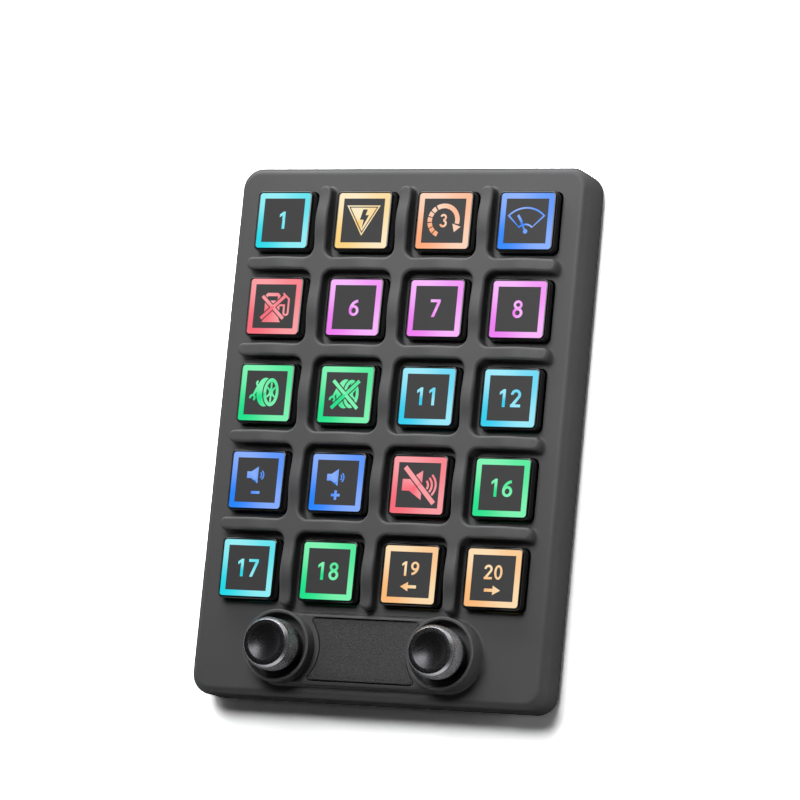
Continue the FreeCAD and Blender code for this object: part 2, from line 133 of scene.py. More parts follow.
def colour(name, description, code):
    return bpy.props.FloatVectorProperty(name=name, description=description, default=linear(code),
                                         subtype="COLOR", size=3, min=0, max=1)


class HousingSizes(bpy.types.PropertyGroup):
    """Front housing, its finger ribs and key openings."""
    cap_skirt: size("Cap skirt", "How far a key cap reaches under the face", 1.5)
    corner: size("Corner radius", "Radius of the housing's four corners in plan", 6.2)
    face_edge: size("Face edge radius", "Radius between the face and the side walls", 2.5)
    back_edge: size("Back edge radius", "Rounding of the rim round the cover", 0.3)
    rim: size("Rim", "Width of the rim that stands round the cover", 1.2)
    cover: size("Cover thickness", "Thickness of the cover within the rim", 2.4)
    wall: size("Wall", "Thickness of the side walls", 2.4)
    face_wall: size("Face thickness", "Thickness of the face between the ribs", 2.4)
    rib_width: size("Rib width", "Width of a finger rib", 3.8)
    rib_overrun: size("Rib overrun", "How far a rib runs past the middle of its last key", 10.5)
    rib_nose: size("Rib nose radius", "Radius in plan at the end of a rib", 1.7)
    rib_corner: size("Rib corner radius", "Radius in plan where two ribs cross", 3.0)
    rib_edge: size("Rib edge radius", "Radius along the crest of a rib", 0.85)
    rib_foot: size("Rib foot radius", "Hollow radius where a rib meets the face", 0.8)
    crest_high: size("Crest beside a key", "Height of the crest at the middle of a key", 5.3)
    crest_low: size("Crest at a crossing", "Height of the crest where two ribs cross", 4.5)
    crest_end: size("Crest at an end", "Height of the crest at the free end of a rib", 4.1)
    crest_rise: size("Crest rise", "Distance along a rib over which the crest falls", 8.4)
    opening_gap: size("Opening gap", "Clearance round a key cap", 0.3)
    opening_corner: size("Opening corner", "Radius in plan of a key opening", 1.8)
    opening_edge: size("Opening edge", "Rounding of the rim of a key opening", 0.2)


class IslandSizes(bpy.types.PropertyGroup):
    """Raised island with the two knob cups and the name plate."""
    cup_radius: size("Cup radius", "Outer radius of a knob cup", 10.6)
    cup_wall: size("Cup wall", "Thickness of the wall of a cup", 1.0)
    cup_stand: size("Cup height", "Height of the cup's rim over the face", 6.7)
    cup_edge: size("Cup rim radius", "Rounding of the rim of a cup", 0.32)
    foot: size("Foot radius", "Hollow radius where the island meets the face", 0.8)
    top_edge: size("Island edge radius", "Rounding of the upper edge of the island", 1.0)
    groove: size("Plate groove", "Width of the groove round the name plate", 0.25)
    plate_ring: size("Plate ring", "Distance from a cup to the name plate", 1.7)
    plate_corner: size("Plate corner", "Radius of the plate's corners", 0.8)
    plate_edge: size("Plate edge", "Rounding of the plate's upper edge", 0.12)


class KeySizes(bpy.types.PropertyGroup):
    """Key caps, light guides, labels and legends."""
    cap_corner: size("Cap corner radius", "Radius in plan of a key cap", 1.7)
    cap_edge: size("Cap edge radius", "Rounding of the upper edge of a cap", 0.7)
    cap_wall: size("Cap wall", "Width of the cap's wall round the light guide", 0.8)
    inner_edge: size("Inner edge", "Rounding of the cap's edge beside the light guide", 0.08)
    guide_gap: size("Guide gap", "Gap between the light guide and the cap", 0.02)
    guide_thickness: size("Guide thickness", "Thickness of the light guide's plate", 1.6)
    guide_edge: size("Guide edge", "Rounding of the light guide's edges", 0.1)
    stem_width: size("Stem width", "Width of the stem under the light guide", 6.4)
    stem_depth: size("Stem depth", "Depth of the stem under the light guide", 4.4)
    label_width: size("Label width", "Width of the square label", 13.2)
    label_thickness: size("Label thickness", "Thickness of the label", 0.45)
    label_edge: size("Label edge", "Rounding of the label's upper edge", 0.05)
    ink: size("Legend height", "How far a legend stands proud of its label", 0.03)


class KnobSizes(bpy.types.PropertyGroup):
    """Turned knobs with a diamond knurl and a dished top."""
    teeth: count("Teeth", "Diamonds in one turn of the knurl", 60)
    rows: count("Rows", "Half rows of diamonds up the grip", 14)
    tooth: size("Tooth height", "Height of a diamond of the knurl", 0.26)
    grip: size("Grip height", "Height of the knurled grip", 6.3)
    top_radius: size("Top radius", "Radius at the top of the taper", 6.65)
    taper: size("Taper", "Height of the taper above the grip", 1.0)
    dish_radius: size("Dish radius", "Radius of the hollow in the top", 5.2)
    dish_depth: size("Dish depth", "Depth of the hollow in the top", 0.9)
    edge: size("Edge", "Rounding of the turned edges", 0.14)
    skirt: size("Skirt radius", "Radius of the plain skirt below the grip", 6.8)
    hollow: size("Hollow radius", "Radius of the space over the nut", 6.0)
    hollow_depth: size("Hollow depth", "Depth of the space over the nut", 2.7)
    bore: size("Bore radius", "Radius of the hole for the shaft", 3.0)


class BackSizes(bpy.types.PropertyGroup):
    """Rear cover, feet, screws and the cable socket."""
    foot_radius: size("Foot radius", "Radius of a rubber foot", 5.0)
    foot_edge: size("Foot edge", "Rounding of a foot's lower edge", 0.5)
    foot_dish: size("Foot dish", "Depth of the shallow hollow in a foot", 0.15)
    screw_head: size("Screw head radius", "Radius of a cover screw's head", 2.5)
    screw_head_height: size("Screw head height", "Height of a cover screw's head", 1.3)
    screw_shank: size("Screw shank radius", "Radius of a cover screw's shank", 1.2)
    recess_reach: size("Recess reach", "Half length of the cross recess", 1.5)
    recess_width: size("Recess width", "Width of a slot of the cross recess", 0.55)
    recess_depth: size("Recess depth", "Depth of the cross recess", 0.9)
    cover_edge: size("Cover edge", "Rounding of the cover's edges", 0.18)
    socket_wall: size("Socket wall", "Sheet thickness of the socket's shell", 0.3)
    socket_gap: size("Socket gap", "Clearance round the socket in the wall", 0.15)
    tongue_width: size("Tongue width", "Width of the socket's tongue", 6.7)
    tongue_height: size("Tongue height", "Thickness of the socket's tongue", 0.7)
    tongue_sink: size("Tongue sink", "How far the tongue's end lies inside the shell", 2.5)


class PanelColours(bpy.types.PropertyGroup):
    """Colours of the plastics and of the lamps."""
    housing: colour("Housing", "Moulded housing and cover", "#575758")
    plate: colour("Name plate", "Grained name plate", "#3b3b3c")
    cap: colour("Caps", "Polished key caps", "#08080a")
    label: colour("Labels", "Matt film of the labels", "#19191a")
    # The labels' glow is painted light: an even grey glow on the film, which stands in for light falling on
    # it.
    leak: colour("Leak", "Lamp light that comes through the labels", "#323233")
    knob: colour("Knobs", "Anodised top of the knobs", "#3c3c3e")
    # The grips' colour is a painted sparkle: the knurl's peaks are painted lighter where light would catch
    # them.
    grip: colour("Grips", "Worn points of the knurl", "#d8d8dc")
    cut: colour("Cut edge", "Bright cut taper of the knobs", "#a2a2a6")


for lamp, tones in LAMP_COLOURS.items():
    for part, code in zip(("deep", "pale"), tones):
        PanelColours.__annotations__[f"{lamp}_{part}"] = colour(
            f"{lamp.capitalize()}, {part}", f"The {lamp} lamp's {part} tone in a light guide", code)


class StageSettings(bpy.types.PropertyGroup):
    """Camera, lamps and floor."""
    eye: bpy.props.FloatVectorProperty(name="Eye", description="Place of the camera",
                                       default=(0.4966, -0.1798, 1.0741), subtype="XYZ", unit="LENGTH")
    right: bpy.props.FloatVectorProperty(name="Right", description="The camera's direction to the right",
                                         default=(0.90884, 0.09564, -0.40603), subtype="DIRECTION")
    up: bpy.props.FloatVectorProperty(name="Up", description="The camera's upward direction",
                                      default=(-0.02075, 0.98252, 0.18498), subtype="DIRECTION")
    lens: bpy.props.FloatProperty(name="Lens", description="Focal length on a 36 mm sensor",
                                  default=183.56, unit="CAMERA")
    floor_width: size("Floor width", "Width of the square floor", 6000)
    key_power: power("Key light", "Power of the large soft light", 0.39)
    top_power: power("Top light", "Power of the low light beyond the top", 6.4)
    side_power: power("Side light", "Power of the low light at the right", 0.3)
    fill: bpy.props.FloatProperty(name="Fill", description="Strength of the world's soft light",
                                  default=0.02, subtype="FACTOR")


# Tools for modelling

def lone(piece):
    """Makes one object the only selected and the active one."""
    if bpy.context.mode != "OBJECT":
        bpy.ops.object.mode_set(mode="OBJECT")
    bpy.ops.object.select_all(action="DESELECT")
    bpy.context.view_layer.objects.active = piece
    piece.select_set(True)


@contextmanager
def editing(piece):
    lone(piece)
    bpy.ops.object.mode_set(mode="EDIT")
    yield
    bpy.ops.object.mode_set(mode="OBJECT")


def pick(kind, wanted):
    """Selects the vertices, edges or faces of the edited mesh that pass a test."""
    bpy.ops.mesh.select_mode(type=kind)
    bpy.ops.mesh.select_all(action="DESELECT")
    data = bpy.context.edit_object.data
    mesh = bmesh.from_edit_mesh(data)
    parts = {"VERT": mesh.verts, "EDGE": mesh.edges, "FACE": mesh.faces}[kind]
    found = [part for part in parts if wanted(part)]
    for part in found:
        part.select_set(True)
    mesh.select_flush_mode()
    bmesh.update_edit_mesh(data)
    if not found:
        raise RuntimeError("nothing of that kind to select on " + bpy.context.edit_object.name)


def near(a, b):
    return abs(a - b) < SAME


def middle(edge):
    return (edge.verts[0].co + edge.verts[1].co) / 2


def along(edge, axis):
    run = edge.verts[1].co - edge.verts[0].co
    return abs(run[axis]) > STRAIGHT * run.length


def upright(edge):
    return along(edge, 2)


def is_flat(face):
    return abs(face.normal.z) > FLAT


def is_wall(face):
    return abs(face.normal.z) < WALL


def edge_at(level):
    return lambda edge: all(near(corner.co.z, level) for corner in edge.verts)


def face_at(level):
    return lambda face: near(face.calc_center_median().z, level) and is_flat(face)


def rounded(radius, steps):
    """Rounds the picked edges."""
    bpy.ops.mesh.bevel(offset=radius, segments=steps, affect="EDGES", clamp_overlap=False)


def rounded_at(piece, level, radius, steps):
    """Rounds a piece's edges at a level."""
    with editing(piece):
        pick("EDGE", edge_at(level))
        rounded(radius, steps)


def drawn_in(width, rise=0.0):
    """Draws the picked face in by a width, and moves it along its normal."""
    bpy.ops.mesh.inset(thickness=width, depth=rise, use_even_offset=True)


def raised(rise):
    """Draws the picked faces upwards."""
    bpy.ops.mesh.extrude_region_move(TRANSFORM_OT_translate={"value": (0, 0, rise)})


def bisected(axis, station):
    """Cuts the edited mesh across an axis, at a station along it."""
    normal = [float(axis == i) for i in range(3)]
    bpy.ops.mesh.select_all(action="SELECT")
    bpy.ops.mesh.bisect(plane_co=[station * share for share in normal], plane_no=normal)


def in_place(piece, name, scale=(1, 1, 1)):
    """Names a new primitive and puts its size and place into its mesh."""
    piece.name = name
    piece.scale = scale
    lone(piece)
    bpy.ops.object.transform_apply(location=True, rotation=True, scale=True)
    return piece


def block(name, low, high):
    low, high = Vector(low), Vector(high)
    bpy.ops.mesh.primitive_cube_add(size=1, location=(low + high) / 2)
    return in_place(bpy.context.object, name, high - low)


def post(name, place, half_width, half_depth, low, high):
    """Block that stands over a place."""
    x, y = place[0], place[1]
    return block(name, (x - half_width, y - half_depth, low), (x + half_width, y + half_depth, high))


def sheet(name, low, high, level):
    place = ((low[0] + high[0]) / 2, (low[1] + high[1]) / 2, level)
    bpy.ops.mesh.primitive_plane_add(size=1, location=place)
    return in_place(bpy.context.object, name, (high[0] - low[0], high[1] - low[1], 1))


def drum(name, place, radius, low, high, sides=96):
    bpy.ops.mesh.primitive_cylinder_add(vertices=sides, radius=radius, depth=high - low,
                                        location=(place[0], place[1], (low + high) / 2))
    return in_place(bpy.context.object, name)


def arc(x, y, radius, start, end, steps=20):
    """Points along an arc, with its turns in degrees."""
    turns = [math.radians(start + (end - start) * step / steps) for step in range(steps + 1)]
    return [(x + radius * math.cos(turn), y + radius * math.sin(turn)) for turn in turns]


def slab(name, outlines, low, high):
    """Flat piece between closed outlines, where one inside another is a hole."""
    data = bpy.data.curves.new(name, "CURVE")
    data.dimensions = "2D"
    data.fill_mode = "BOTH"
    data.extrude = (high - low) / 2
    for outline in outlines:
        spline = data.splines.new("POLY")
        spline.points.add(len(outline) - 1)
        for point, (x, y) in zip(spline.points, outline):
            point.co = (x, y, 0, 1)
        spline.use_cyclic_u = True
    piece = as_mesh(bpy.data.objects.new(name, data))
    piece.data.transform(Matrix.Translation((0, 0, (low + high) / 2)))
    return piece


def as_mesh(made):
    """Turns a text or a flat curve into a closed mesh."""
    if made.name not in bpy.context.scene.collection.objects:
        bpy.context.scene.collection.objects.link(made)
    lone(made)
    bpy.ops.object.convert(target="MESH")
    return merged(bpy.context.object)


def combine(piece, tool, operation):
    """Joins, cuts or intersects a piece with another, which is used up."""
    lone(piece)
    change = piece.modifiers.new("combine", "BOOLEAN")
    change.operation = operation
    change.object = tool
    change.solver = "EXACT"
    bpy.ops.object.modifier_apply(modifier=change.name)
    bpy.data.objects.remove(tool)
    return piece


def repeated(piece, axis, number, step):
    """Repeats a piece in a row along an axis."""
    lone(piece)
    row = piece.modifiers.new("row", "ARRAY")
    row.use_relative_offset = False
    row.use_constant_offset = True
    row.count = number
    row.constant_offset_displace = [step if i == axis else 0 for i in range(3)]
    bpy.ops.object.modifier_apply(modifier=row.name)
    return piece


def copied(piece, name, shift):
    """A copy with its own mesh, moved within it."""
    twin = piece.copy()
    twin.data = piece.data.copy()
    twin.name = name
    twin.data.name = name
    twin.data.transform(Matrix.Translation(shift))
    bpy.context.scene.collection.objects.link(twin)
    return twin


def smoothed(piece, degrees=35):
    """Shades a piece smooth between its sharp edges, with the large faces kept flat."""
    lone(piece)
    bpy.ops.object.shade_smooth_by_angle(angle=math.radians(degrees))
    weighting = piece.modifiers.new("weighting", "WEIGHTED_NORMAL")
    weighting.keep_sharp = True
    bpy.ops.object.modifier_apply(modifier=weighting.name)
    return piece


def merged(piece):
    with editing(piece):
        bpy.ops.mesh.select_all(action="SELECT")
        bpy.ops.mesh.remove_doubles(threshold=WELD)
    return piece


def finished(piece, material, body, nodes=()):
    """Gives a piece its material and its body, and hides the nodes that it stands for."""
    piece.data.materials.clear()
    piece.data.materials.append(material)
    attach(piece, body)
    if nodes:
        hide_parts(*nodes)
    return piece


# Tools for materials

# Places of the colour sockets of a Mix node, which has others under the same names
FIRST, SECOND, MIXED = 6, 7, 2


def add(tree, kind, inputs, **settings):
    """Adds a node with its settings. Each input takes a value, an output, or a node's first output."""
    made = tree.nodes.new(kind)
    for name, value in settings.items():
        setattr(made, name, value)
    for name, value in inputs.items():
        if isinstance(value, bpy.types.Node):
            value = value.outputs[0]
        if isinstance(value, bpy.types.NodeSocket):
            tree.links.new(value, made.inputs[name])
        else:
            made.inputs[name].default_value = value
    return made


def begun(name, tint):
    """A new material with an empty tree. Returns it, the tree and the place on the piece."""
    made = bpy.data.materials.new(name)
    made.use_nodes = True
    made.diffuse_color = (*tint, 1)
    made.node_tree.nodes.clear()
    return made, made.node_tree, add(made.node_tree, "ShaderNodeTexCoord", {}).outputs["Object"]


def shaded(made, inputs):
    """Gives a material its main shader."""
    shader = add(made.node_tree, "ShaderNodeBsdfPrincipled", inputs)
    add(made.node_tree, "ShaderNodeOutputMaterial", {"Surface": shader})
    return made


def spots(where, millimetres, detail=2.0, roughness=0.5):
    """Settings of a mottle whose spots are about that wide."""
    return {"Vector": where, "Scale": 1 / (millimetres * MM), "Detail": detail, "Roughness": roughness}


def between(share, low, high, least=0.3, most=0.7):
    """Settings that turn a share into a value between two limits. A mottle's shares lie from 0.3 to 0.7."""
    return {"Value": share, "From Min": least, "From Max": most, "To Min": low, "To Max": high}


def toned(share, first, second):
    """Settings of a mixture of two colours."""
    return {"Factor": share, FIRST: (*first, 1), SECOND: (*second, 1)}


def raised_by(height, millimetres):
    """Settings of a relief with that much height."""
    return {"Height": height, "Distance": millimetres * MM}


def shade(tint, share):
    return tuple(min(1.0, channel * share) for channel in tint)


def mottled(tree, where, tint, millimetres, low, high, detail=2.0):
    """A tint that drifts between two strengths, over patches about that wide."""
    patches = add(tree, "ShaderNodeTexNoise", spots(where, millimetres, detail))
    share = add(tree, "ShaderNodeMapRange", between(patches, 0, 1))
    return add(tree, "ShaderNodeMix", toned(share, shade(tint, low), shade(tint, high)),
               data_type="RGBA").outputs[MIXED]


# Materials

def moulded_abs(tint):
    """ABS moulded in a spark-eroded tool: a satin skin with a fine, even grain that blurs reflections."""
    made, tree, where = begun("moulded_abs", tint)
    # The real grain is 0.1 mm wide, drawn at 0.35 mm so that it shows.
    grain = add(tree, "ShaderNodeTexNoise", spots(where, 0.35, 3))
    return shaded(made, {
        "Base Color": mottled(tree, where, tint, 30, 0.94, 1.06), "IOR": 1.54, "Specular IOR Level": 0.35,
        "Roughness": add(tree, "ShaderNodeMapRange", between(grain, 0.44, 0.56)),
        "Normal": add(tree, "ShaderNodeBump", raised_by(grain, 0.012))})


def grained_plate(tint):
    """ABS moulded against a coarse etched tool, with a grain of crumbs and pits. Its colour follows the
    grain, with painted shade in the pits and a painted sparkle on the crumbs.
    """
    made, tree, where = begun("grained_plate", tint)
    # The real crumbs are 0.2 mm wide, drawn at 0.4 mm so that they show.
    crumbs = add(tree, "ShaderNodeTexNoise", spots(where, 0.4, 2, 0.6))
    share = add(tree, "ShaderNodeMapRange", between(crumbs, 0, 1))
    # Painted shade and sparkle: the colour runs from dark in the grain's pits to light on its crumbs.
    skin = add(tree, "ShaderNodeMix", toned(share, shade(tint, 0.4), shade(tint, 1.8)), data_type="RGBA")
    return shaded(made, {
        "Base Color": skin.outputs[MIXED], "IOR": 1.54,
        "Roughness": add(tree, "ShaderNodeMapRange", between(crumbs, 0.6, 0.35)),
        "Normal": add(tree, "ShaderNodeBump", raised_by(crumbs, 0.09))})


def polished_abs(tint):
    """ABS moulded in a polished tool: deep black with sharp reflections, which wipe marks and a slow waviness
    of the skin disturb a little."""
    made, tree, where = begun("polished_abs", tint)
    marks = add(tree, "ShaderNodeTexNoise", spots(where, 4, 4))
    waves = add(tree, "ShaderNodeTexNoise", spots(where, 2, 1))
    return shaded(made, {
        "Base Color": (*tint, 1), "IOR": 1.54,
        "Roughness": add(tree, "ShaderNodeMapRange", between(marks, 0.10, 0.17)),
        "Normal": add(tree, "ShaderNodeBump", raised_by(waves, 0.002))})


def label_film(tint, leak):
    """Printed polycarbonate film: matt dark grey, almost without grain, with an even grey glow painted in,
    which stands in for light on the film."""
    made, tree, where = begun("label_film", tint)
    # The film's matt grain is 0.05 mm wide, drawn at 0.25 mm so that it shows.
    grain = add(tree, "ShaderNodeTexNoise", spots(where, 0.25))
    return shaded(made, {
        "Base Color": mottled(tree, where, tint, 9, 0.93, 1.05),
        "IOR": 1.58, "Roughness": 0.5, "Specular IOR Level": 0.2,
        # Painted glow: the film gives off an even grey light of its own.
        "Emission Color": (*leak, 1), "Emission Strength": 1.0,
        "Normal": add(tree, "ShaderNodeBump", raised_by(grain, 0.006))})


# How a light guide's glow turns pale round a key: on how many sides, the palest one's direction in degrees
# from the right, and by how much
PALE_SIDES = ((2, 128, 0.33), (1, 50, 0.17))


def lit_guide(name, deep, pale):
    """Diffusing polycarbonate lit from below by one lamp: it glows, paler towards two of a key's corners."""
    made, tree, where = begun("lit_guide_" + name, deep)
    axes = add(tree, "ShaderNodeSeparateXYZ", {"Vector": where})
    half = KEY_PITCH / 2
    local = []
    for axis, first in (("X", KEY_XS[0]), ("Y", KEY_YS[0])):
        shift = add(tree, "ShaderNodeMath", {0: axes.outputs[axis], 1: first}, operation="SUBTRACT")
        local.append(add(tree, "ShaderNodeMath", {0: shift, 1: half, 2: -half}, operation="WRAP"))
    turn = add(tree, "ShaderNodeMath", {0: local[1], 1: local[0]}, operation="ARCTAN2")
    share = 0.5
    for sides, palest, strength in PALE_SIDES:
        phase = add(tree, "ShaderNodeMath", {0: turn, 1: sides, 2: -sides * math.radians(palest)},
                    operation="MULTIPLY_ADD")
        lobe = add(tree, "ShaderNodeMath", {0: phase}, operation="COSINE")
        share = add(tree, "ShaderNodeMath", {0: lobe, 1: strength, 2: share}, operation="MULTIPLY_ADD")
    glow = add(tree, "ShaderNodeMix", toned(share, deep, pale), data_type="RGBA")
    return shaded(made, {
        "Base Color": (*shade(deep, 0.04), 1), "IOR": 1.58, "Roughness": 0.4, "Specular IOR Level": 0.2,
        "Emission Color": glow.outputs[MIXED], "Emission Strength": 0.95})


def cut_aluminium(tint, grip, cut, sizes):
    """Aluminium turned, blasted and anodised black, then cut bright on the taper: a satin dark metal with the
    knurl's peaks painted lighter, as a painted sparkle of light on them, and a mirror-like ring round the
    top."""
    made, tree, where = begun("cut_aluminium", tint)
    centre = KNOB_PLACES["right"]
    shoulder = KNOB_HIGH.z - sizes.taper
    # Both knobs fold onto the same quarter, where the distance from the axis tells taper from top.
    folded = add(tree, "ShaderNodeVectorMath", {0: where}, operation="ABSOLUTE")
    flat = add(tree, "ShaderNodeVectorMath", {0: folded, 1: (1, 1, 0)}, operation="MULTIPLY")
    reach = add(tree, "ShaderNodeVectorMath", {0: flat, 1: (abs(centre.x), abs(centre.y), 0)},
                operation="DISTANCE").outputs["Value"]
    height = add(tree, "ShaderNodeSeparateXYZ", {"Vector": where}).outputs["Z"]
    high = add(tree, "ShaderNodeMath", {0: height, 1: shoulder}, operation="GREATER_THAN")
    outside = add(tree, "ShaderNodeMath", {0: reach, 1: sizes.top_radius - sizes.edge / 2},
                  operation="GREATER_THAN")
    on_taper = add(tree, "ShaderNodeMath", {0: high, 1: outside}, operation="MULTIPLY")
    # Painted sparkle: the knurl's peaks take the lighter grips' colour, which stands in for light that
    # catches them.
    peak = (KNOB_HIGH.x - KNOB_LOW.x) / 2
    painted_sparkle = add(tree, "ShaderNodeMapRange", between(reach, 0, 1, peak - sizes.tooth, peak))
    knurl = add(tree, "ShaderNodeMix", toned(painted_sparkle, tint, grip), data_type="RGBA")
    skin = add(tree, "ShaderNodeMix", {"Factor": high, FIRST: knurl.outputs[MIXED], SECOND: (*tint, 1)},
               data_type="RGBA")
    skin = add(tree, "ShaderNodeMix", {"Factor": on_taper, FIRST: skin.outputs[MIXED], SECOND: (*cut, 1)},
               data_type="RGBA")
    # The blasted skin's real grain is 0.05 mm wide, drawn at 0.3 mm so that it shows.
    blast = add(tree, "ShaderNodeTexNoise", spots(where, 0.3))
    satin = add(tree, "ShaderNodeMapRange", between(blast, 0.2, 0.34))
    return shaded(made, {
        "Base Color": skin.outputs[MIXED], "Metallic": 0.85,
        "Roughness": add(tree, "ShaderNodeMath", {0: on_taper, 1: -0.05, 2: satin}, operation="MULTIPLY_ADD"),
        "Normal": add(tree, "ShaderNodeBump", raised_by(blast, 0.008))})


def moulded_rubber(tint):
    """Compression-moulded nitrile rubber: dull black with a dusty bloom."""
    made, tree, where = begun("moulded_rubber", tint)
    # The real grain is 0.1 mm wide, drawn at 0.3 mm so that it shows.
    grain = add(tree, "ShaderNodeTexNoise", spots(where, 0.3))
    return shaded(made, {
        "Base Color": mottled(tree, where, tint, 1.5, 0.8, 1.35, detail=4), "IOR": 1.52, "Roughness": 0.8,
        "Normal": add(tree, "ShaderNodeBump", raised_by(grain, 0.02))})


def turned_metal(name, tint, roughness, wear):
    """Machined metal: tool marks too fine to see one by one, which blur the reflection unevenly."""
    made, tree, where = begun(name, tint)
    # The real marks are 0.05 mm apart, drawn at 0.4 mm so that they show.
    marks = add(tree, "ShaderNodeTexNoise", spots(where, 0.4, 5))
    return shaded(made, {
        "Base Color": mottled(tree, where, tint, 2.5, 1, wear), "Metallic": 1.0,
        "Roughness": add(tree, "ShaderNodeMapRange", between(marks, roughness - 0.06, roughness + 0.08)),
        "Normal": add(tree, "ShaderNodeBump", raised_by(marks, 0.006))})


def board_laminate(tint):
    """Glass-epoxy board under green solder mask: glossy, with the weave just showing through."""
    made, tree, where = begun("board_laminate", tint)
    # The glass cloth has a thread every 0.4 mm, drawn every 0.8 mm so that it shows.
    weave = add(tree, "ShaderNodeTexChecker", {"Vector": where, "Scale": 1 / (0.8 * MM)}).outputs["Fac"]
    skin = add(tree, "ShaderNodeMix", toned(weave, tint, shade(tint, 1.15)), data_type="RGBA")
    return shaded(made, {"Base Color": skin.outputs[MIXED], "IOR": 1.55, "Roughness": 0.3})


def cast_resin(name, tint, roughness):
    """Moulded resin or nylon on the board: plain, with a slight unevenness in its gloss."""
    made, tree, where = begun(name, tint)
    grain = add(tree, "ShaderNodeTexNoise", spots(where, 0.5, 3))
    return shaded(made, {
        "Base Color": (*tint, 1), "IOR": 1.53,
        "Roughness": add(tree, "ShaderNodeMapRange", between(grain, roughness - 0.05, roughness + 0.07)),
        "Normal": add(tree, "ShaderNodeBump", raised_by(grain, 0.01))})


# Front housing

def face_level():
    return CAP_LOW.z + bpy.context.scene.key_panel_housing.cap_skirt


def outer_body(sizes):
    """Block with rounded corners and edges, opened from behind in two steps."""
    face = face_level()
    body = block("front_shell", HOUSING_LOW, (HOUSING_HIGH.x, HOUSING_HIGH.y, face))
    with editing(body):
        pick("EDGE", upright)
        rounded(sizes.corner, steps=14)
        pick("EDGE", edge_at(face))
        rounded(sizes.face_edge, steps=10)
        pick("FACE", face_at(HOUSING_LOW.z))
        drawn_in(sizes.rim)
        raised(sizes.cover)
        drawn_in(sizes.wall - sizes.rim)
        raised(face - sizes.face_wall - HOUSING_LOW.z - sizes.cover)
        pick("EDGE", edge_at(HOUSING_LOW.z))
        rounded(sizes.back_edge, steps=3)
    return body


def crest_height(sizes, run, keys):
    """Height of a rib's crest over the face: it swells beside each key."""
    away = min(abs(run - key) for key in keys)
    low = sizes.crest_end if run < keys[0] or run > keys[-1] else sizes.crest_low
    share = min(1.0, away / sizes.crest_rise)
    fall = 2 * share ** 2 if share < 0.5 else 1 - 2 * (1 - share) ** 2
    return sizes.crest_high + (low - sizes.crest_high) * fall


def rib_plan(sizes):
    """Flat grid of bars, without seams where they cross."""
    reach, half = sizes.rib_overrun, sizes.rib_width / 2
    low, high = (KEY_XS[0] - reach, KEY_YS[0] - reach), (KEY_XS[-1] + reach, KEY_YS[-1] + reach)
    grid = sheet("rib_grid", low, high, face_level() - sizes.face_wall / 2)
    with editing(grid):
        for axis in (0, 1):
            for line in RIB_LINES[axis]:
                bisected(axis, line - half)
                bisected(axis, line + half)
        pick("FACE", lambda face: not any(on_rib(face.calc_center_median(), half)))
        bpy.ops.mesh.delete(type="FACE")
        for axis in (0, 1):
            for key in KEY_LINES[axis]:
                bisected(axis, key)
        pick("EDGE", lambda edge: not edge.is_boundary and not any(on_lines(edge, KEY_LINES)))
        bpy.ops.mesh.dissolve_edges(use_verts=False)
    return grid


def on_rib(place, reach):
    """For each axis, whether a place lies within reach of a rib's line across it."""
    return [min(abs(place[axis] - line) for line in RIB_LINES[axis]) <= reach for axis in (0, 1)]


def on_lines(edge, lines, offset=0.0):
    """For each axis, whether an edge's middle lies that far from one of the lines across it."""
    place = middle(edge)
    return [any(near(abs(place[axis] - line), offset) for line in lines[axis]) for axis in (0, 1)]


def rib_grid(sizes, stations=8):
    """The finger ribs, rounded in plan, with crests that rise station by station and rounded edges."""
    face, half = face_level(), sizes.rib_width / 2
    ends = [(keys[0] - sizes.rib_overrun, keys[-1] + sizes.rib_overrun) for keys in KEY_LINES]
    grid = rib_plan(sizes)
    with editing(grid):
        bpy.ops.mesh.select_all(action="SELECT")
        raised(sizes.face_wall / 2 + sizes.crest_low)
        pick("EDGE", lambda edge: upright(edge) and all(on_lines(edge, RIB_LINES, half)))
        rounded(sizes.rib_corner, steps=10)
        pick("EDGE", lambda edge: upright(edge) and any(on_lines(edge, ends)))
        rounded(sizes.rib_nose, steps=6)
        for axis in (0, 1):
            for key in KEY_LINES[axis]:
                for step in [s for s in range(-stations, stations + 1) if s]:
                    bisected(axis, key + step * sizes.crest_rise / stations)
        raise_crests(sizes, face, half)
        pick("EDGE", lambda edge: is_crest_rim(edge, face))
        rounded(sizes.rib_edge, steps=5)
    return grid


def raise_crests(sizes, face, half):
    """Sets the corners of the ribs' tops to the crest's height at their station."""
    data = bpy.context.edit_object.data
    mesh = bmesh.from_edit_mesh(data)
    for corner in mesh.verts:
        if corner.co.z < face:
            continue
        lengthwise, crosswise = on_rib(corner.co, half + SAME)
        height = sizes.crest_low
        if crosswise and not lengthwise:
            height = crest_height(sizes, corner.co.x, KEY_XS)
        if lengthwise and not crosswise:
            height = crest_height(sizes, corner.co.y, KEY_YS)
        corner.co.z = face + height
    mesh.normal_update()
    bmesh.update_edit_mesh(data)


def is_crest_rim(edge, face):
    """Whether an edge lies between a rib's side and its crest, which slopes a little."""
    if min(corner.co.z for corner in edge.verts) < face + BEYOND or len(edge.link_faces) != 2:
        return False
    slopes = sorted(abs(side.normal.z) for side in edge.link_faces)
    return slopes[0] < WALL and slopes[1] > CREST


def key_openings(sizes):
    """A block with rounded corners for each key opening."""
    half, face = (CAP_HIGH.x - CAP_LOW.x) / 2 + sizes.opening_gap, face_level()
    blocks = post("key_openings", (KEY_XS[0], KEY_YS[0]), half, half,
                  face - sizes.face_wall - BEYOND, face + BEYOND)
    with editing(blocks):
        pick("EDGE", upright)
        rounded(sizes.opening_corner, steps=8)
    repeated(blocks, 0, len(KEY_XS), KEY_PITCH)
    return repeated(blocks, 1, len(KEY_YS), KEY_PITCH)


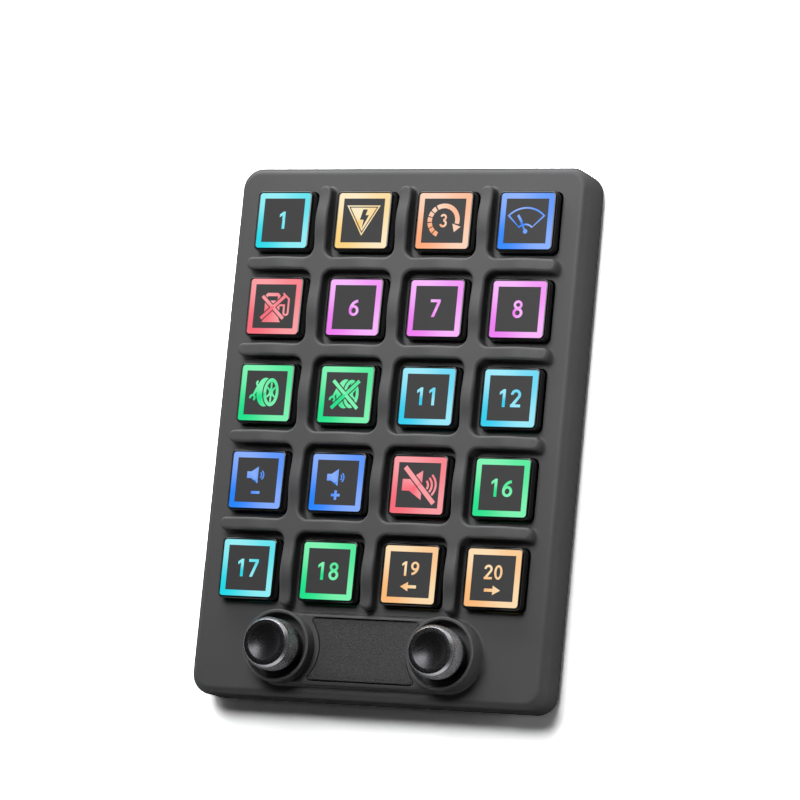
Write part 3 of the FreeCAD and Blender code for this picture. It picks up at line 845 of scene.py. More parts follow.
def edge_between_up_and_side(edge, face, above):
    """An edge of the face with an upright wall above it, as at a rib, or below it, as at an opening."""
    if not edge_at(face)(edge) or len(edge.link_faces) != 2:
        return False
    walls = [side for side in edge.link_faces if is_wall(side)]
    floors = [side for side in edge.link_faces if is_flat(side) and side.normal.z > 0]
    return len(walls) == 1 and len(floors) == 1 and (walls[0].calc_center_median().z > face) == above


# How far the island's sides lie within the cups', and how far above the face the cups start inside it
ISLAND_INSET, CUP_START = 0.15 * MM, 0.3 * MM
# Share of a half round at the island's ends, because a full one would fold the bevel over itself
END_ROUNDING = 0.967
# Radius of the hole for an encoder's bush
BUSH_HOLE = 3.65 * MM


def island_block(sizes, foot_steps=6):
    """Long block with half-round ends, a hollow fillet at its foot and a rounded upper edge."""
    face = face_level()
    left, right = KNOB_PLACES["left"], KNOB_PLACES["right"]
    out = sizes.cup_radius - ISLAND_INSET + sizes.foot
    island = block("island", (left.x - out, left.y - out, face - BEYOND),
                   (right.x + out, right.y + out, face))
    with editing(island):
        pick("EDGE", upright)
        rounded(out * END_ROUNDING, steps=24)
        pick("FACE", face_at(face))
        turns = [math.radians(90 * step / foot_steps) for step in range(foot_steps + 1)]
        for before, after in zip(turns, turns[1:]):
            drawn_in(sizes.foot * (math.sin(after) - math.sin(before)),
                     sizes.foot * (math.cos(before) - math.cos(after)))
        raised(PLATE_HIGH.z - face - sizes.foot)
        pick("EDGE", edge_at(PLATE_HIGH.z))
        rounded(sizes.top_edge, steps=6)
    return island


def plate_outline(sizes, gap):
    """Bar with hollow ends that follow both cups, and with rounded corners."""
    knob, corner = KNOB_PLACES["right"], sizes.plate_corner + gap
    hollow = sizes.cup_radius + sizes.plate_ring - gap
    half = (PLATE_HIGH.y - PLATE_LOW.y) / 2 + gap
    rise = half - corner
    run = math.sqrt((hollow + corner) ** 2 - rise ** 2)
    turn = math.degrees(math.atan2(rise, run))
    upper = arc(knob.x - run, knob.y + rise, corner, 90, -turn, steps=8)
    end = arc(knob.x, knob.y, hollow, 180 - turn, 180 + turn, steps=60)
    lower = [(x, 2 * knob.y - y) for x, y in reversed(upper)]
    right_side = upper + end[1:-1] + lower
    return right_side + [(-x, y) for x, y in reversed(right_side)]


def socket_bar(gap, near_end, far_end, roundness=0.86):
    """Bar along Y in the place of the cable socket, with that share of a half round at its sides."""
    bar = block("socket_bar", (SOCKET_LOW.x - gap, near_end, SOCKET_LOW.z - gap),
                (SOCKET_HIGH.x + gap, far_end, SOCKET_HIGH.z + gap))
    with editing(bar):
        pick("EDGE", lambda edge: along(edge, 1))
        rounded((SOCKET_HIGH.z - SOCKET_LOW.z) / 2 * roundness + gap, steps=8)
    return bar


def add_island(shell, sizes, wall):
    """Joins the island and its cups to the shell, and hollows them."""
    face = face_level()
    rim = face + sizes.cup_stand
    combine(shell, island_block(sizes), "UNION")
    for place in KNOB_PLACES.values():
        combine(shell, drum("cup", place, sizes.cup_radius, face + CUP_START, rim), "UNION")
    for place in KNOB_PLACES.values():
        hollow = drum("hollow", place, sizes.cup_radius - sizes.cup_wall, CUP_FLOOR, rim + BEYOND)
        combine(shell, hollow, "DIFFERENCE")
        combine(shell, drum("bush_hole", place, BUSH_HOLE, face - wall - BEYOND, rim, sides=48), "DIFFERENCE")
    recess = slab("recess", [plate_outline(sizes, sizes.groove)], PLATE_LOW.z, PLATE_HIGH.z + BEYOND)
    combine(shell, recess, "DIFFERENCE")
    rounded_at(merged(shell), rim, sizes.cup_edge, steps=4)


class KEYPANEL_OT_housing(bpy.types.Operator):
    """Model the front housing with its ribs, openings, island and cups"""
    bl_idname = "key_panel.housing"
    bl_label = "Front Housing"
    bl_options = {"REGISTER", "UNDO"}

    def execute(self, context):
        sizes, island = context.scene.key_panel_housing, context.scene.key_panel_island
        face = face_level()
        shell = outer_body(sizes)
        combine(shell, rib_grid(sizes), "UNION")
        combine(shell, key_openings(sizes), "DIFFERENCE")
        merged(shell)
        with editing(shell):
            pick("EDGE", lambda edge: edge_between_up_and_side(edge, face, True))
            rounded(sizes.rib_foot, steps=4)
            pick("EDGE", lambda edge: edge_between_up_and_side(edge, face, False))
            rounded(sizes.opening_edge, steps=2)
        add_island(shell, island, sizes.face_wall)
        gap = context.scene.key_panel_back.socket_gap
        slot = socket_bar(gap, HOUSING_HIGH.y - sizes.wall - BEYOND, HOUSING_HIGH.y + BEYOND)
        combine(shell, slot, "DIFFERENCE")
        smoothed(merged(shell))
        colours = context.scene.key_panel_colours
        finished(shell, moulded_abs(tuple(colours.housing)), "root", ["front_housing"])
        return {"FINISHED"}


class KEYPANEL_OT_name_plate(bpy.types.Operator):
    """Model the bare grained plate between the knobs"""
    bl_idname = "key_panel.name_plate"
    bl_label = "Name Plate"
    bl_options = {"REGISTER", "UNDO"}

    def execute(self, context):
        sizes = context.scene.key_panel_island
        plate = slab("grained_name_plate", [plate_outline(sizes, 0)], PLATE_LOW.z, PLATE_HIGH.z)
        rounded_at(plate, PLATE_HIGH.z, sizes.plate_edge, steps=3)
        smoothed(plate)
        material = grained_plate(tuple(context.scene.key_panel_colours.plate))
        finished(plate, material, "root", ["name_plate"])
        return {"FINISHED"}


# Keys

def cap_shell(sizes):
    """Open square shell with rounded corners and a rounded upper edge, on the first key's place."""
    shell = block("key_shell_01", CAP_LOW, CAP_HIGH)
    with editing(shell):
        pick("EDGE", upright)
        rounded(sizes.cap_corner, steps=8)
        pick("EDGE", edge_at(CAP_HIGH.z))
        rounded(sizes.cap_edge, steps=5)
        pick("FACE", face_at(CAP_HIGH.z))
        drawn_in(sizes.cap_wall - sizes.cap_edge)
        pick("FACE", face_at(CAP_LOW.z))
        drawn_in(sizes.cap_wall)
        pick("FACE", lambda face: is_flat(face) and len(face.verts) > 4
             and near(face.calc_center_median().x, KEY_PLACES["01"].x))
        bpy.ops.mesh.delete(type="FACE")
        pick("EDGE", lambda edge: edge.is_boundary)
        bpy.ops.mesh.bridge_edge_loops()
        pick("EDGE", lambda edge: edge_at(CAP_HIGH.z)(edge)
             and any(is_wall(side) for side in edge.link_faces))
        rounded(sizes.inner_edge, steps=2)
    return smoothed(shell)


def light_guide(sizes, overlap=0.5 * MM):
    """Plate with rounded corners, a square recess for the label, and the stem that overlaps it below."""
    inset = sizes.cap_wall + sizes.guide_gap
    low = (CAP_LOW.x + inset, CAP_LOW.y + inset, LIGHT_HIGH.z - sizes.guide_thickness)
    high = (CAP_HIGH.x - inset, CAP_HIGH.y - inset, LIGHT_HIGH.z)
    place, half = KEY_PLACES["01"], sizes.label_width / 2
    guide = block("light_guide_01", low, high)
    with editing(guide):
        pick("EDGE", upright)
        rounded(sizes.cap_corner - inset, steps=6)
        pick("EDGE", edge_at(LIGHT_HIGH.z))
        rounded(sizes.guide_edge, steps=2)
    recess = post("recess", place, half, half, CAP_HIGH.z - sizes.label_thickness, CAP_HIGH.z + BEYOND)
    combine(guide, recess, "DIFFERENCE")
    stem = post("stem", place, sizes.stem_width / 2, sizes.stem_depth / 2, LIGHT_LOW.z, low[2] + overlap)
    combine(guide, stem, "UNION")
    return smoothed(merged(guide))


def label_plate(sizes):
    half, low = sizes.label_width / 2, CAP_HIGH.z - sizes.label_thickness
    label = post("key_label_01", KEY_PLACES["01"], half, half, low, CAP_HIGH.z)
    rounded_at(label, CAP_HIGH.z, sizes.label_edge, steps=2)
    return smoothed(label)


def lamp_materials(colours):
    """The material of each lamp's light guides, made at the first call."""
    found = {}
    for lamp in sorted(set(LAMP_OF_KEY)):
        deep, pale = [tuple(getattr(colours, f"{lamp}_{part}")) for part in ("deep", "pale")]
        found[lamp] = bpy.data.materials.get("lit_guide_" + lamp) or lit_guide(lamp, deep, pale)
    return found


class KEYPANEL_OT_keys(bpy.types.Operator):
    """Model one key's shell, light guide and label, and copy them to every key"""
    bl_idname = "key_panel.keys"
    bl_label = "Keys"
    bl_options = {"REGISTER", "UNDO"}

    def execute(self, context):
        sizes, colours = context.scene.key_panel_keys, context.scene.key_panel_colours
        shell, guide, label = cap_shell(sizes), light_guide(sizes), label_plate(sizes)
        gloss = polished_abs(tuple(colours.cap))
        film = label_film(tuple(colours.label), tuple(colours.leak))
        lamps = lamp_materials(colours)
        for number, lamp in zip(KEY_NUMBERS, LAMP_OF_KEY):
            shift = KEY_PLACES[number] - KEY_PLACES["01"]
            body, first = "key_" + number, number == "01"
            cap = shell if first else copied(shell, "key_shell_" + number, shift)
            light = guide if first else copied(guide, "light_guide_" + number, shift)
            film_piece = label if first else copied(label, "key_label_" + number, shift)
            finished(cap, gloss, body, ["key_cap_" + number])
            finished(light, lamps[lamp], body, ["key_light_" + number])
            finished(film_piece, film, body)
        return {"FINISHED"}


# Legends, drawn in millimetres from the middle of a key

def band(x, y, inner, outer, start, end):
    """Outline of a stretch of a ring."""
    return arc(x, y, outer, start, end) + arc(x, y, inner, end, start)


def stroke(start, end, width):
    """Outline of a straight stroke with square ends."""
    run = Vector(end) - Vector(start)
    side = Vector((-run.y, run.x)).normalized() * width / 2
    corners = (Vector(start) + side, Vector(end) + side, Vector(end) - side, Vector(start) - side)
    return [tuple(corner) for corner in corners]


def scaled(outline, share, x=0.0, y=0.0):
    return [(x + (px - x) * share, y + (py - y) * share) for px, py in outline]


def shape_of(outlines):
    """Thin sign of closed outlines in millimetres, where one inside another is a hole."""
    ink = bpy.context.scene.key_panel_keys.ink
    return slab("legend", [[(x * MM, y * MM) for x, y in outline] for outline in outlines], -ink, ink)


def oval(x, y, half_width, half_height):
    return [(x + px * half_width, y + py * half_height) for px, py in arc(0, 0, 1, 0, 350, steps=35)]


def digit_pieces(sign):
    """Outlines of one bold digit in a box 0.6 wide and 1 high, as overlapping pieces."""
    six = [[oval(0.3, 0.31, 0.3, 0.31), oval(0.3, 0.31, 0.14, 0.16)], [band(0.6, 0.34, 0.44, 0.6, 180, 98)]]
    return {
        "0": [[oval(0.3, 0.5, 0.3, 0.5), oval(0.3, 0.5, 0.14, 0.35)]],
        "1": [[[(0.25, 0), (0.42, 0), (0.42, 1), (0.29, 1), (0.07, 0.84), (0.07, 0.67), (0.25, 0.79)]]],
        "2": [[band(0.3, 0.7, 0.14, 0.3, 180, -40)], [[(0.41, 0.61), (0.53, 0.51), (0.22, 0.1), (0, 0.1)]],
              [[(0, 0), (0.6, 0), (0.6, 0.16), (0, 0.16)]]],
        "3": [[band(0.28, 0.735, 0.115, 0.265, 160, -90)], [band(0.28, 0.295, 0.14, 0.295, 90, -165)]],
        "6": six,
        "7": [[[(0, 1), (0.6, 1), (0.6, 0.84), (0.27, 0), (0.09, 0), (0.42, 0.84), (0, 0.84)]]],
        "8": [[oval(0.3, 0.745, 0.265, 0.255), oval(0.3, 0.745, 0.12, 0.11)],
              [oval(0.3, 0.295, 0.3, 0.295), oval(0.3, 0.295, 0.14, 0.14)]],
        "9": [[[(0.6 - x, 1 - y) for x, y in outline] for outline in piece] for piece in six],
    }[sign]


def figures(text, height, x=0.0, y=0.0, pitch=0.74, width=0.6):
    """Bold digits in a row, centred on a point. Pitch and width are shares of the height."""
    shapes = []
    start = -pitch / 2 * (len(text) - 1) - width / 2
    for index, sign in enumerate(text):
        for piece in digit_pieces(sign):
            shapes.append(shape_of([
                [(x + (px + start + pitch * index) * height, y + (py - 0.5) * height) for px, py in outline]
                for outline in piece]))
    return joined(*shapes)


def joined(*shapes):
    first = shapes[0]
    for other in shapes[1:]:
        combine(first, other, "UNION")
    return first


def crossed(shape, low, high, width, gap=0.35, both=True):
    """Lays one or two slanting bars over a shape, from corner to corner, with a dark gap on each side."""
    ends = [((low[0], high[1]), (high[0], low[1]))]
    if both:
        ends.append((low, high))
    for start, end in ends:
        combine(shape, shape_of_cutter(stroke(start, end, width + 2 * gap)), "DIFFERENCE")
    bars = joined(*[shape_of([stroke(start, end, width)]) for start, end in ends])
    return joined(shape, bars)


def shape_of_cutter(outline):
    cutter = shape_of([outline])
    cutter.data.transform(Matrix.Scale(3, 4, (0, 0, 1)))
    return cutter


def warning_bolt():
    """Triangle with a thin line within its border, round a bolt."""
    outer = [(-5.4, 4.5), (5.4, 4.5), (0, -4.6)]
    bolt = [(-0.1, 3.3), (1.4, 3.3), (0.8, 1.6), (1.9, 1.6), (-0.1, -2.5), (0.3, 0.2), (-0.9, 0.2)]
    return shape_of([outer, scaled(outer, 0.88, y=1.5), scaled(outer, 0.78, y=1.5), bolt])


def start_arrow():
    """Ring that starts in blocks and ends in an arrow, round a figure."""
    blocks = [band(0, 0, 3.7, 5.1, start, start + 17) for start in range(126, 232, 21)]
    sweep = band(0, 0, 3.7, 5.1, 120, -12)
    head = [(2.9, -0.9), (5.6, -1.8), (3.6, -3.4)]
    return joined(shape_of(blocks), shape_of([sweep]), shape_of([head]), figures("3", 4.0))


def wiper():
    glass = band(0, -3.9, 2.6, 8.0, 42.5, 137.5)
    inner = band(0, -3.9, 3.1, 7.5, 46.5, 133.5)
    arm = shape_of([stroke((0, -3.1), (-2.6, 1.7), 0.45)])
    blade = shape_of([stroke((-1.2, -0.5), (-2.6, 1.7), 0.75)])
    hub = shape_of([arc(0, -3.1, 0.7, 0, 345, steps=23)])
    return joined(shape_of([glass, inner]), arm, blade, hub)


def fuel_pump():
    body = [(-3.7, -4.8), (2.4, -4.8), (1.8, -3.9), (1.7, 3.3),
            (1.0, 4.0), (-2.5, 4.0), (-3.2, 3.3), (-3.1, -3.9)]
    window = [(-2.4, 1.7), (0.9, 1.7), (0.9, 3.0), (-2.4, 3.0)]
    hose = (stroke((2.6, 3.9), (4.7, 2.1), 0.55), [(4.3, 2.4), (4.9, 2.4), (4.9, -1.9), (4.3, -1.9)],
            band(3.9, -1.9, 0.4, 1.0, 180, 360), [(2.9, -1.9), (3.5, -1.9), (3.5, 0.4), (2.9, 0.2)],
            [(1.6, 0.0), (3.1, 0.0), (3.5, 0.6), (1.6, 0.6)])
    return joined(shape_of([body, window]), *[shape_of([part]) for part in hose])


def wheel():
    """Tyre seen at a slant, with its rim and hub."""
    x, y, wide, tall, spoke = 1.8, 0.2, 1.55, 3.1, 0.95
    centre = Vector((x, y))
    tread = shape_of([oval(x - 2.0, y, 2.7, 4.3)])
    combine(tread, shape_of_cutter(oval(x - 0.15, y, 2.7, 4.45)), "DIFFERENCE")
    rim = shape_of([oval(x, y, 2.45, 4.2), oval(x, y, wide, tall)])
    spokes = []
    for turn in (30, 90, 150):
        reach = spoke * Vector((wide * math.cos(math.radians(turn)), tall * math.sin(math.radians(turn))))
        spokes.append(shape_of([stroke(centre + reach, centre - reach, 0.55)]))
    return joined(rim, tread, *spokes, shape_of([oval(x, y, 0.7, 1.2)]))


def spanner():
    shaft = shape_of([stroke((-3.9, -0.9), (-2.5, 2.1), 0.75)])
    heads = [shape_of([band(x, y, 0.42, 1.05, mouth + 50, mouth + 310)])
             for x, y, mouth in ((-2.3, 2.8, 67), (-4.1, -1.5, 247))]
    return joined(shaft, *heads)


def speaker(x, y, scale, waves):
    cone = [(-5.0, 1.7), (-2.7, 1.7), (1.2, 4.3), (1.2, -4.3), (-2.7, -1.7), (-5.0, -1.7)]
    parts = [scaled([(px + x, py + y) for px, py in cone], scale, x, y)]
    for wave in range(waves):
        inner = 1.4 + 1.2 * wave
        ring = band(1.4 + x, y, inner, inner + 0.65, -48, 48)
        parts.append(scaled(ring, scale, x, y))
    return shape_of(parts)


def volume(*strokes):
    """Loudspeaker over the strokes of a minus or a plus."""
    return joined(speaker(-0.3, 1.5, 0.58, 2), *[shape_of([stroke(*ends, 0.8)]) for ends in strokes])


def arrow(direction, x, y):
    outline = [(-2.4, 0.45), (0.2, 0.45), (0.2, 1.35), (2.6, 0), (0.2, -1.35), (0.2, -0.45), (-2.4, -0.45)]
    return shape_of([[(x + direction * px, y + py) for px, py in outline]])


def legend(number):
    """The sign on a key: a common symbol, or the key's plain number."""
    level, upright_stroke = ((-1.4, -3.7), (1.4, -3.7)), ((0, -5.1), (0, -2.3))
    signs = {
        "02": warning_bolt,
        "03": start_arrow,
        "04": wiper,
        "05": lambda: crossed(fuel_pump(), (-4.1, -3.7), (3.2, 3.0), 1.0, 0.32),
        "09": lambda: joined(wheel(), spanner()),
        "10": lambda: crossed(joined(wheel(), spanner()), (-4.2, -4.1), (4.2, 4.1), 1.05),
        "13": lambda: volume(level),
        "14": lambda: volume(level, upright_stroke),
        "15": lambda: crossed(speaker(0, 0, 1.0, 3), (-4.5, -5.2), (5.3, 5.2), 1.4, both=False),
        "19": lambda: joined(figures("19", 4.2, 0, 1.7), arrow(-1, 0, -3.5)),
        "20": lambda: joined(figures("20", 4.2, 0, 1.7), arrow(1, 0, -3.5)),
    }
    return signs[number]() if number in signs else figures(str(int(number)), 5.2)


class KEYPANEL_OT_legends(bpy.types.Operator):
    """Model the lit sign on every key"""
    bl_idname = "key_panel.legends"
    bl_label = "Legends"
    bl_options = {"REGISTER", "UNDO"}

    def execute(self, context):
        lamps = lamp_materials(context.scene.key_panel_colours)
        for number, lamp in zip(KEY_NUMBERS, LAMP_OF_KEY):
            sign = legend(number)
            sign.name = "legend_" + number
            place = KEY_PLACES[number]
            sign.data.transform(Matrix.Translation((place.x, place.y, CAP_HIGH.z)))
            finished(sign, lamps[lamp], "key_" + number)
        return {"FINISHED"}


# Knobs

def knurled(grip_low, grip_high, sides, rows, tooth):
    """Raises every other corner of the grip's net, so that its diamonds stand out."""
    pick("EDGE", upright)
    bpy.ops.mesh.subdivide(number_cuts=rows - 1)
    centre = KNOB_PLACES["left"]
    step = (grip_high - grip_low) / rows

    def is_peak(corner):
        row = round((corner.co.z - grip_low) / step)
        turn = math.atan2(corner.co.y - centre.y, corner.co.x - centre.x)
        column = round(turn / (2 * math.pi) * sides)
        return 0 < row < rows and (row + column) % 2 == 1
    pick("VERT", is_peak)
    bpy.ops.transform.shrink_fatten(value=tooth)
    pick("FACE", lambda face: not is_flat(face))
    bpy.ops.mesh.quads_convert_to_tris(quad_method="SHORTEST_DIAGONAL")


def turned_knob(sizes, name, dish_steps=9):
    """Knurled grip, taper, flat ring and dished top, and below them the skirt with its hollow and bore."""
    shoulder = KNOB_HIGH.z - sizes.taper
    grip_low = shoulder - sizes.grip
    radius = (KNOB_HIGH.x - KNOB_LOW.x) / 2 - sizes.tooth
    sides = 2 * sizes.teeth
    body = drum(name, KNOB_PLACES["left"], radius, grip_low, shoulder, sides)
    with editing(body):
        knurled(grip_low, shoulder, sides, sizes.rows, sizes.tooth)
        pick("FACE", face_at(shoulder))
        drawn_in(radius - sizes.top_radius, sizes.taper)
        drawn_in(sizes.top_radius - sizes.dish_radius)
        shares = [1 - step / dish_steps for step in range(dish_steps)]
        for before, after in zip(shares, shares[1:]):
            drawn_in(sizes.dish_radius * (before - after), sizes.dish_depth * (after ** 2 - before ** 2))
        bpy.ops.mesh.poke(offset=-sizes.dish_depth * shares[-1] ** 2)
        pick("EDGE", edge_at(KNOB_HIGH.z))
        deselect_spokes()
        rounded(sizes.edge, steps=3)
        pick("FACE", face_at(grip_low))
        drawn_in(radius - sizes.skirt)
        raised(KNOB_LOW.z - grip_low)
        drawn_in(sizes.skirt - sizes.hollow)
        raised(sizes.hollow_depth)
        drawn_in(sizes.hollow - sizes.bore)
        raised(SHAFT_TOP - KNOB_LOW.z - sizes.hollow_depth)
    return smoothed(body, degrees=30)


def deselect_spokes(allowance=0.05 * MM):
    """Keeps of the picked edges only those that run round the axis, give or take an allowance."""
    data = bpy.context.edit_object.data
    mesh = bmesh.from_edit_mesh(data)
    centre = KNOB_PLACES["left"]
    for edge in mesh.edges:
        reach = [math.hypot(corner.co.x - centre.x, corner.co.y - centre.y) for corner in edge.verts]
        if abs(reach[0] - reach[1]) > allowance:
            edge.select_set(False)
    mesh.select_flush_mode()
    bmesh.update_edit_mesh(data)


class KEYPANEL_OT_knobs(bpy.types.Operator):
    """Model one knob with its knurl and dished top, and copy it to the other side"""
    bl_idname = "key_panel.knobs"
    bl_label = "Knobs"
    bl_options = {"REGISTER", "UNDO"}

    def execute(self, context):
        sizes, colours = context.scene.key_panel_knobs, context.scene.key_panel_colours
        metal = cut_aluminium(tuple(colours.knob), tuple(colours.grip), tuple(colours.cut), sizes)
        left = turned_knob(sizes, "turned_knob_left")
        right = copied(left, "turned_knob_right", KNOB_PLACES["right"] - KNOB_PLACES["left"])
        finished(left, metal, "knob_left", ["knob_left"])
        finished(right, metal, "knob_right", ["knob_right"])
        return {"FINISHED"}


# Back of the panel

def four_places(high, reach):
    """The four mirrored places of pieces whose outer sides lie at a corner of their node's box."""
    x, y = high.x - reach, high.y - reach
    return [(sx * x, sy * y) for sx in (-1, 1) for sy in (-1, 1)]


def rubber_foot(sizes, ring=0.25):
    """Disc with a rounded lower edge and a shallow hollow, round which a ring is left to stand on."""
    foot = drum("foot", (0, 0), sizes.foot_radius, FEET_LOW.z, FEET_HIGH.z, sides=64)
    with editing(foot):
        pick("EDGE", edge_at(FEET_LOW.z))
        rounded(sizes.foot_edge, steps=4)
        pick("FACE", face_at(FEET_LOW.z))
        drawn_in(sizes.foot_radius * ring)
        drawn_in(sizes.foot_dish * 2, -sizes.foot_dish)
    return smoothed(foot)


def cover_screw(sizes, taper=0.55):
    """Flat-headed screw and its shank. The floor of its cross recess is that share of the opening."""
    low, head_top = SCREWS_LOW.z, SCREWS_LOW.z + sizes.screw_head_height
    screw = drum("screw", (0, 0), sizes.screw_head, low, head_top, sides=48)
    with editing(screw):
        pick("EDGE", edge_at(low))
        rounded(SMALL_EDGE, steps=2)
        pick("FACE", face_at(head_top))
        drawn_in(sizes.screw_head - sizes.screw_shank)
        raised(SCREWS_HIGH.z - head_top)
    for turn in (0, 1):
        reach = (sizes.recess_reach, sizes.recess_width / 2)
        slot = post("slot", (0, 0), reach[turn], reach[1 - turn], low - BEYOND, low + sizes.recess_depth)
        with editing(slot):
            pick("FACE", face_at(low + sizes.recess_depth))
            bpy.ops.transform.resize(value=(taper, taper, 1))
        combine(screw, slot, "DIFFERENCE")
    return smoothed(merged(screw))


def eased_copy(node, name, width):
    """A copy of a node's mesh with its sharp edges rounded."""
    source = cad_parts[node]
    piece = bpy.data.objects.new(name, source.data.copy())
    bpy.context.scene.collection.objects.link(piece)
    merged(piece)
    with editing(piece):
        bpy.ops.mesh.select_all(action="SELECT")
        bpy.ops.mesh.dissolve_limited(angle_limit=math.radians(1))
    lone(piece)
    easing = piece.modifiers.new("easing", "BEVEL")
    easing.width = width
    easing.segments = 2
    easing.limit_method = "ANGLE"
    easing.angle_limit = math.radians(40)
    bpy.ops.object.modifier_apply(modifier=easing.name)
    return smoothed(piece)


def socket_shell(sizes):
    """Drawn steel shell, closed at the back."""
    shell = socket_bar(0, SOCKET_LOW.y, SOCKET_HIGH.y)
    shell.name = "socket_shell"
    with editing(shell):
        pick("FACE", lambda face: near(face.calc_center_median().y, SOCKET_HIGH.y))
        drawn_in(sizes.socket_wall)
        bpy.ops.mesh.extrude_region_move(
            TRANSFORM_OT_translate={"value": (0, SOCKET_LOW.y - SOCKET_HIGH.y + 2 * sizes.socket_wall, 0)})
    return smoothed(shell)


def socket_tongue(sizes):
    level = (SOCKET_LOW.z + SOCKET_HIGH.z) / 2
    half_width, half_height = sizes.tongue_width / 2, sizes.tongue_height / 2
    tongue = block("socket_tongue", (-half_width, SOCKET_LOW.y + sizes.socket_wall, level - half_height),
                   (half_width, SOCKET_HIGH.y - sizes.tongue_sink, level + half_height))
    with editing(tongue):
        pick("EDGE", lambda edge: near(middle(edge).y, SOCKET_HIGH.y - sizes.tongue_sink))
        rounded(SMALL_EDGE, steps=3)
    return smoothed(tongue)


class KEYPANEL_OT_back(bpy.types.Operator):
    """Model the rear cover, the feet, the cover's screws and the cable socket"""
    bl_idname = "key_panel.back"
    bl_label = "Back and Socket"
    bl_options = {"REGISTER", "UNDO"}

    def execute(self, context):
        sizes, colours = context.scene.key_panel_back, context.scene.key_panel_colours
        plastic = bpy.data.materials.get("moulded_abs") or moulded_abs(tuple(colours.housing))
        cover = eased_copy("back_cover", "rear_cover", sizes.cover_edge)
        finished(cover, plastic, "root", ["back_cover"])
        rubber = moulded_rubber(linear("#1d1d1e"))
        steel = turned_metal("blackened_steel", linear("#3a3a3c"), 0.38, 1.6)
        for name, model, places, material, slot, node in (
                ("rubber_foot", rubber_foot(sizes), four_places(FEET_HIGH, sizes.foot_radius),
                 rubber, "foot_rubber", "rubber_feet"),
                ("cover_screw", cover_screw(sizes), four_places(SCREWS_HIGH, sizes.screw_head),
                 steel, "screw_steel", "cover_screws")):
            for index, (x, y) in enumerate(places, 1):
                piece = copied(model, f"{name}_{index}", (x, y, 0))
                finished(piece, material, "root", [node])
            bpy.data.objects.remove(model)
        tinned = turned_metal("tinned_steel", linear("#b9b9b6"), 0.3, 0.9)
        finished(socket_shell(sizes), tinned, "root", ["usb_socket"])
        finished(socket_tongue(sizes), cast_resin("tongue_nylon", linear("#141415"), 0.4), "root")
        return {"FINISHED"}


# Pieces inside, which keep the frame's shapes

class KEYPANEL_OT_inner_pieces(bpy.types.Operator):
    """Give the pieces inside the panel their materials"""
    bl_idname = "key_panel.inner_pieces"
    bl_label = "Inner Pieces"
    bl_options = {"REGISTER", "UNDO"}

    def execute(self, context):
        nylon = cast_resin("switch_nylon", linear("#1b1b1c"), 0.45)
        epoxy = cast_resin("chip_epoxy", linear("#161617"), 0.5)
        resin = cast_resin("lamp_resin", linear("#dcdcd0"), 0.25)
        die_cast = turned_metal("die_cast_zinc", linear("#a3a3a0"), 0.36, 0.85)
        nickel = turned_metal("nickel_plate", linear("#b8b4aa"), 0.26, 0.9)
        brass = turned_metal("turned_brass", linear("#c79d4f"), 0.3, 0.85)
        materials = {
            "circuit_board": board_laminate(linear("#14502e")),
            "controller_chips": epoxy,
            "key_lamps": resin,
            "switch_bodies": nylon,
            "encoder_bodies": die_cast,
            "encoder_nuts": nickel,
            "mount_inserts": brass,
            "encoder_rotor_left": nylon,
            "encoder_rotor_right": nylon,
            "encoder_shaft_left": die_cast,
            "encoder_shaft_right": die_cast,
        }
        for node, material in materials.items():
            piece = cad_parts[node]
            piece.data.materials.clear()
            piece.data.materials.append(material)
        return {"FINISHED"}


# Stage

# Place, aim, width, depth and beam in degrees of each lamp
KEY_LAMP = (-0.02, 0.24, 0.5), (0.02, 0.08, 0), 0.3, 0.34, 70
TOP_LAMP = (-0.25, 0.75, 0.22), (0, 0, 0), 0.9, 0.4, 180
SIDE_LAMP = (0.4, -0.02, 0.03), (0, -0.03, 0), 0.1, 0.05, 180
# Share of scattered light that the paper throws back, left and right of a strip beside the panel
PAPER_DARK, PAPER_PALE, PAPER_STRIP = 0.05, 0.9, (0.05, 0.08)
# How much lighter the paper shows to the eye, so that only the core of the shadow stays grey
PAPER_LIFT = 3.6
# Glow of the paper under the panel and away from it, and the distances between which it rises
GLOW_NEAR, GLOW_FAR, GLOW_RISE = 0.005, 1.0, (0.1, 0.4)
# Strengths of the mirrored room from the floor up and from the left to the opening, each with the heights or
# sideways reaches of a direction between which it falls
WALLS = (1.5, 0.05, 0.1, 0.6)
OPENING = (1, 0.1, 0.55, 0.85)
# Direction that the world's scattered light leans to, the share left on the far side, and the reaches
# between which it rises
LEAN, LEAN_LEAST, LEAN_RISE = (0.3, 0.85, 0.2), 0.1, (-0.6, 0.9)


def kinds_of_rays(tree):
    """Share of the eye's own rays, and of rays that a surface has mirrored or let through."""
    path = add(tree, "ShaderNodeLightPath", {})
    mirrored = add(tree, "ShaderNodeMath", {
        0: path.outputs["Is Glossy Ray"], 1: path.outputs["Is Transmission Ray"]}, operation="MAXIMUM")
    return path.outputs["Is Camera Ray"], mirrored


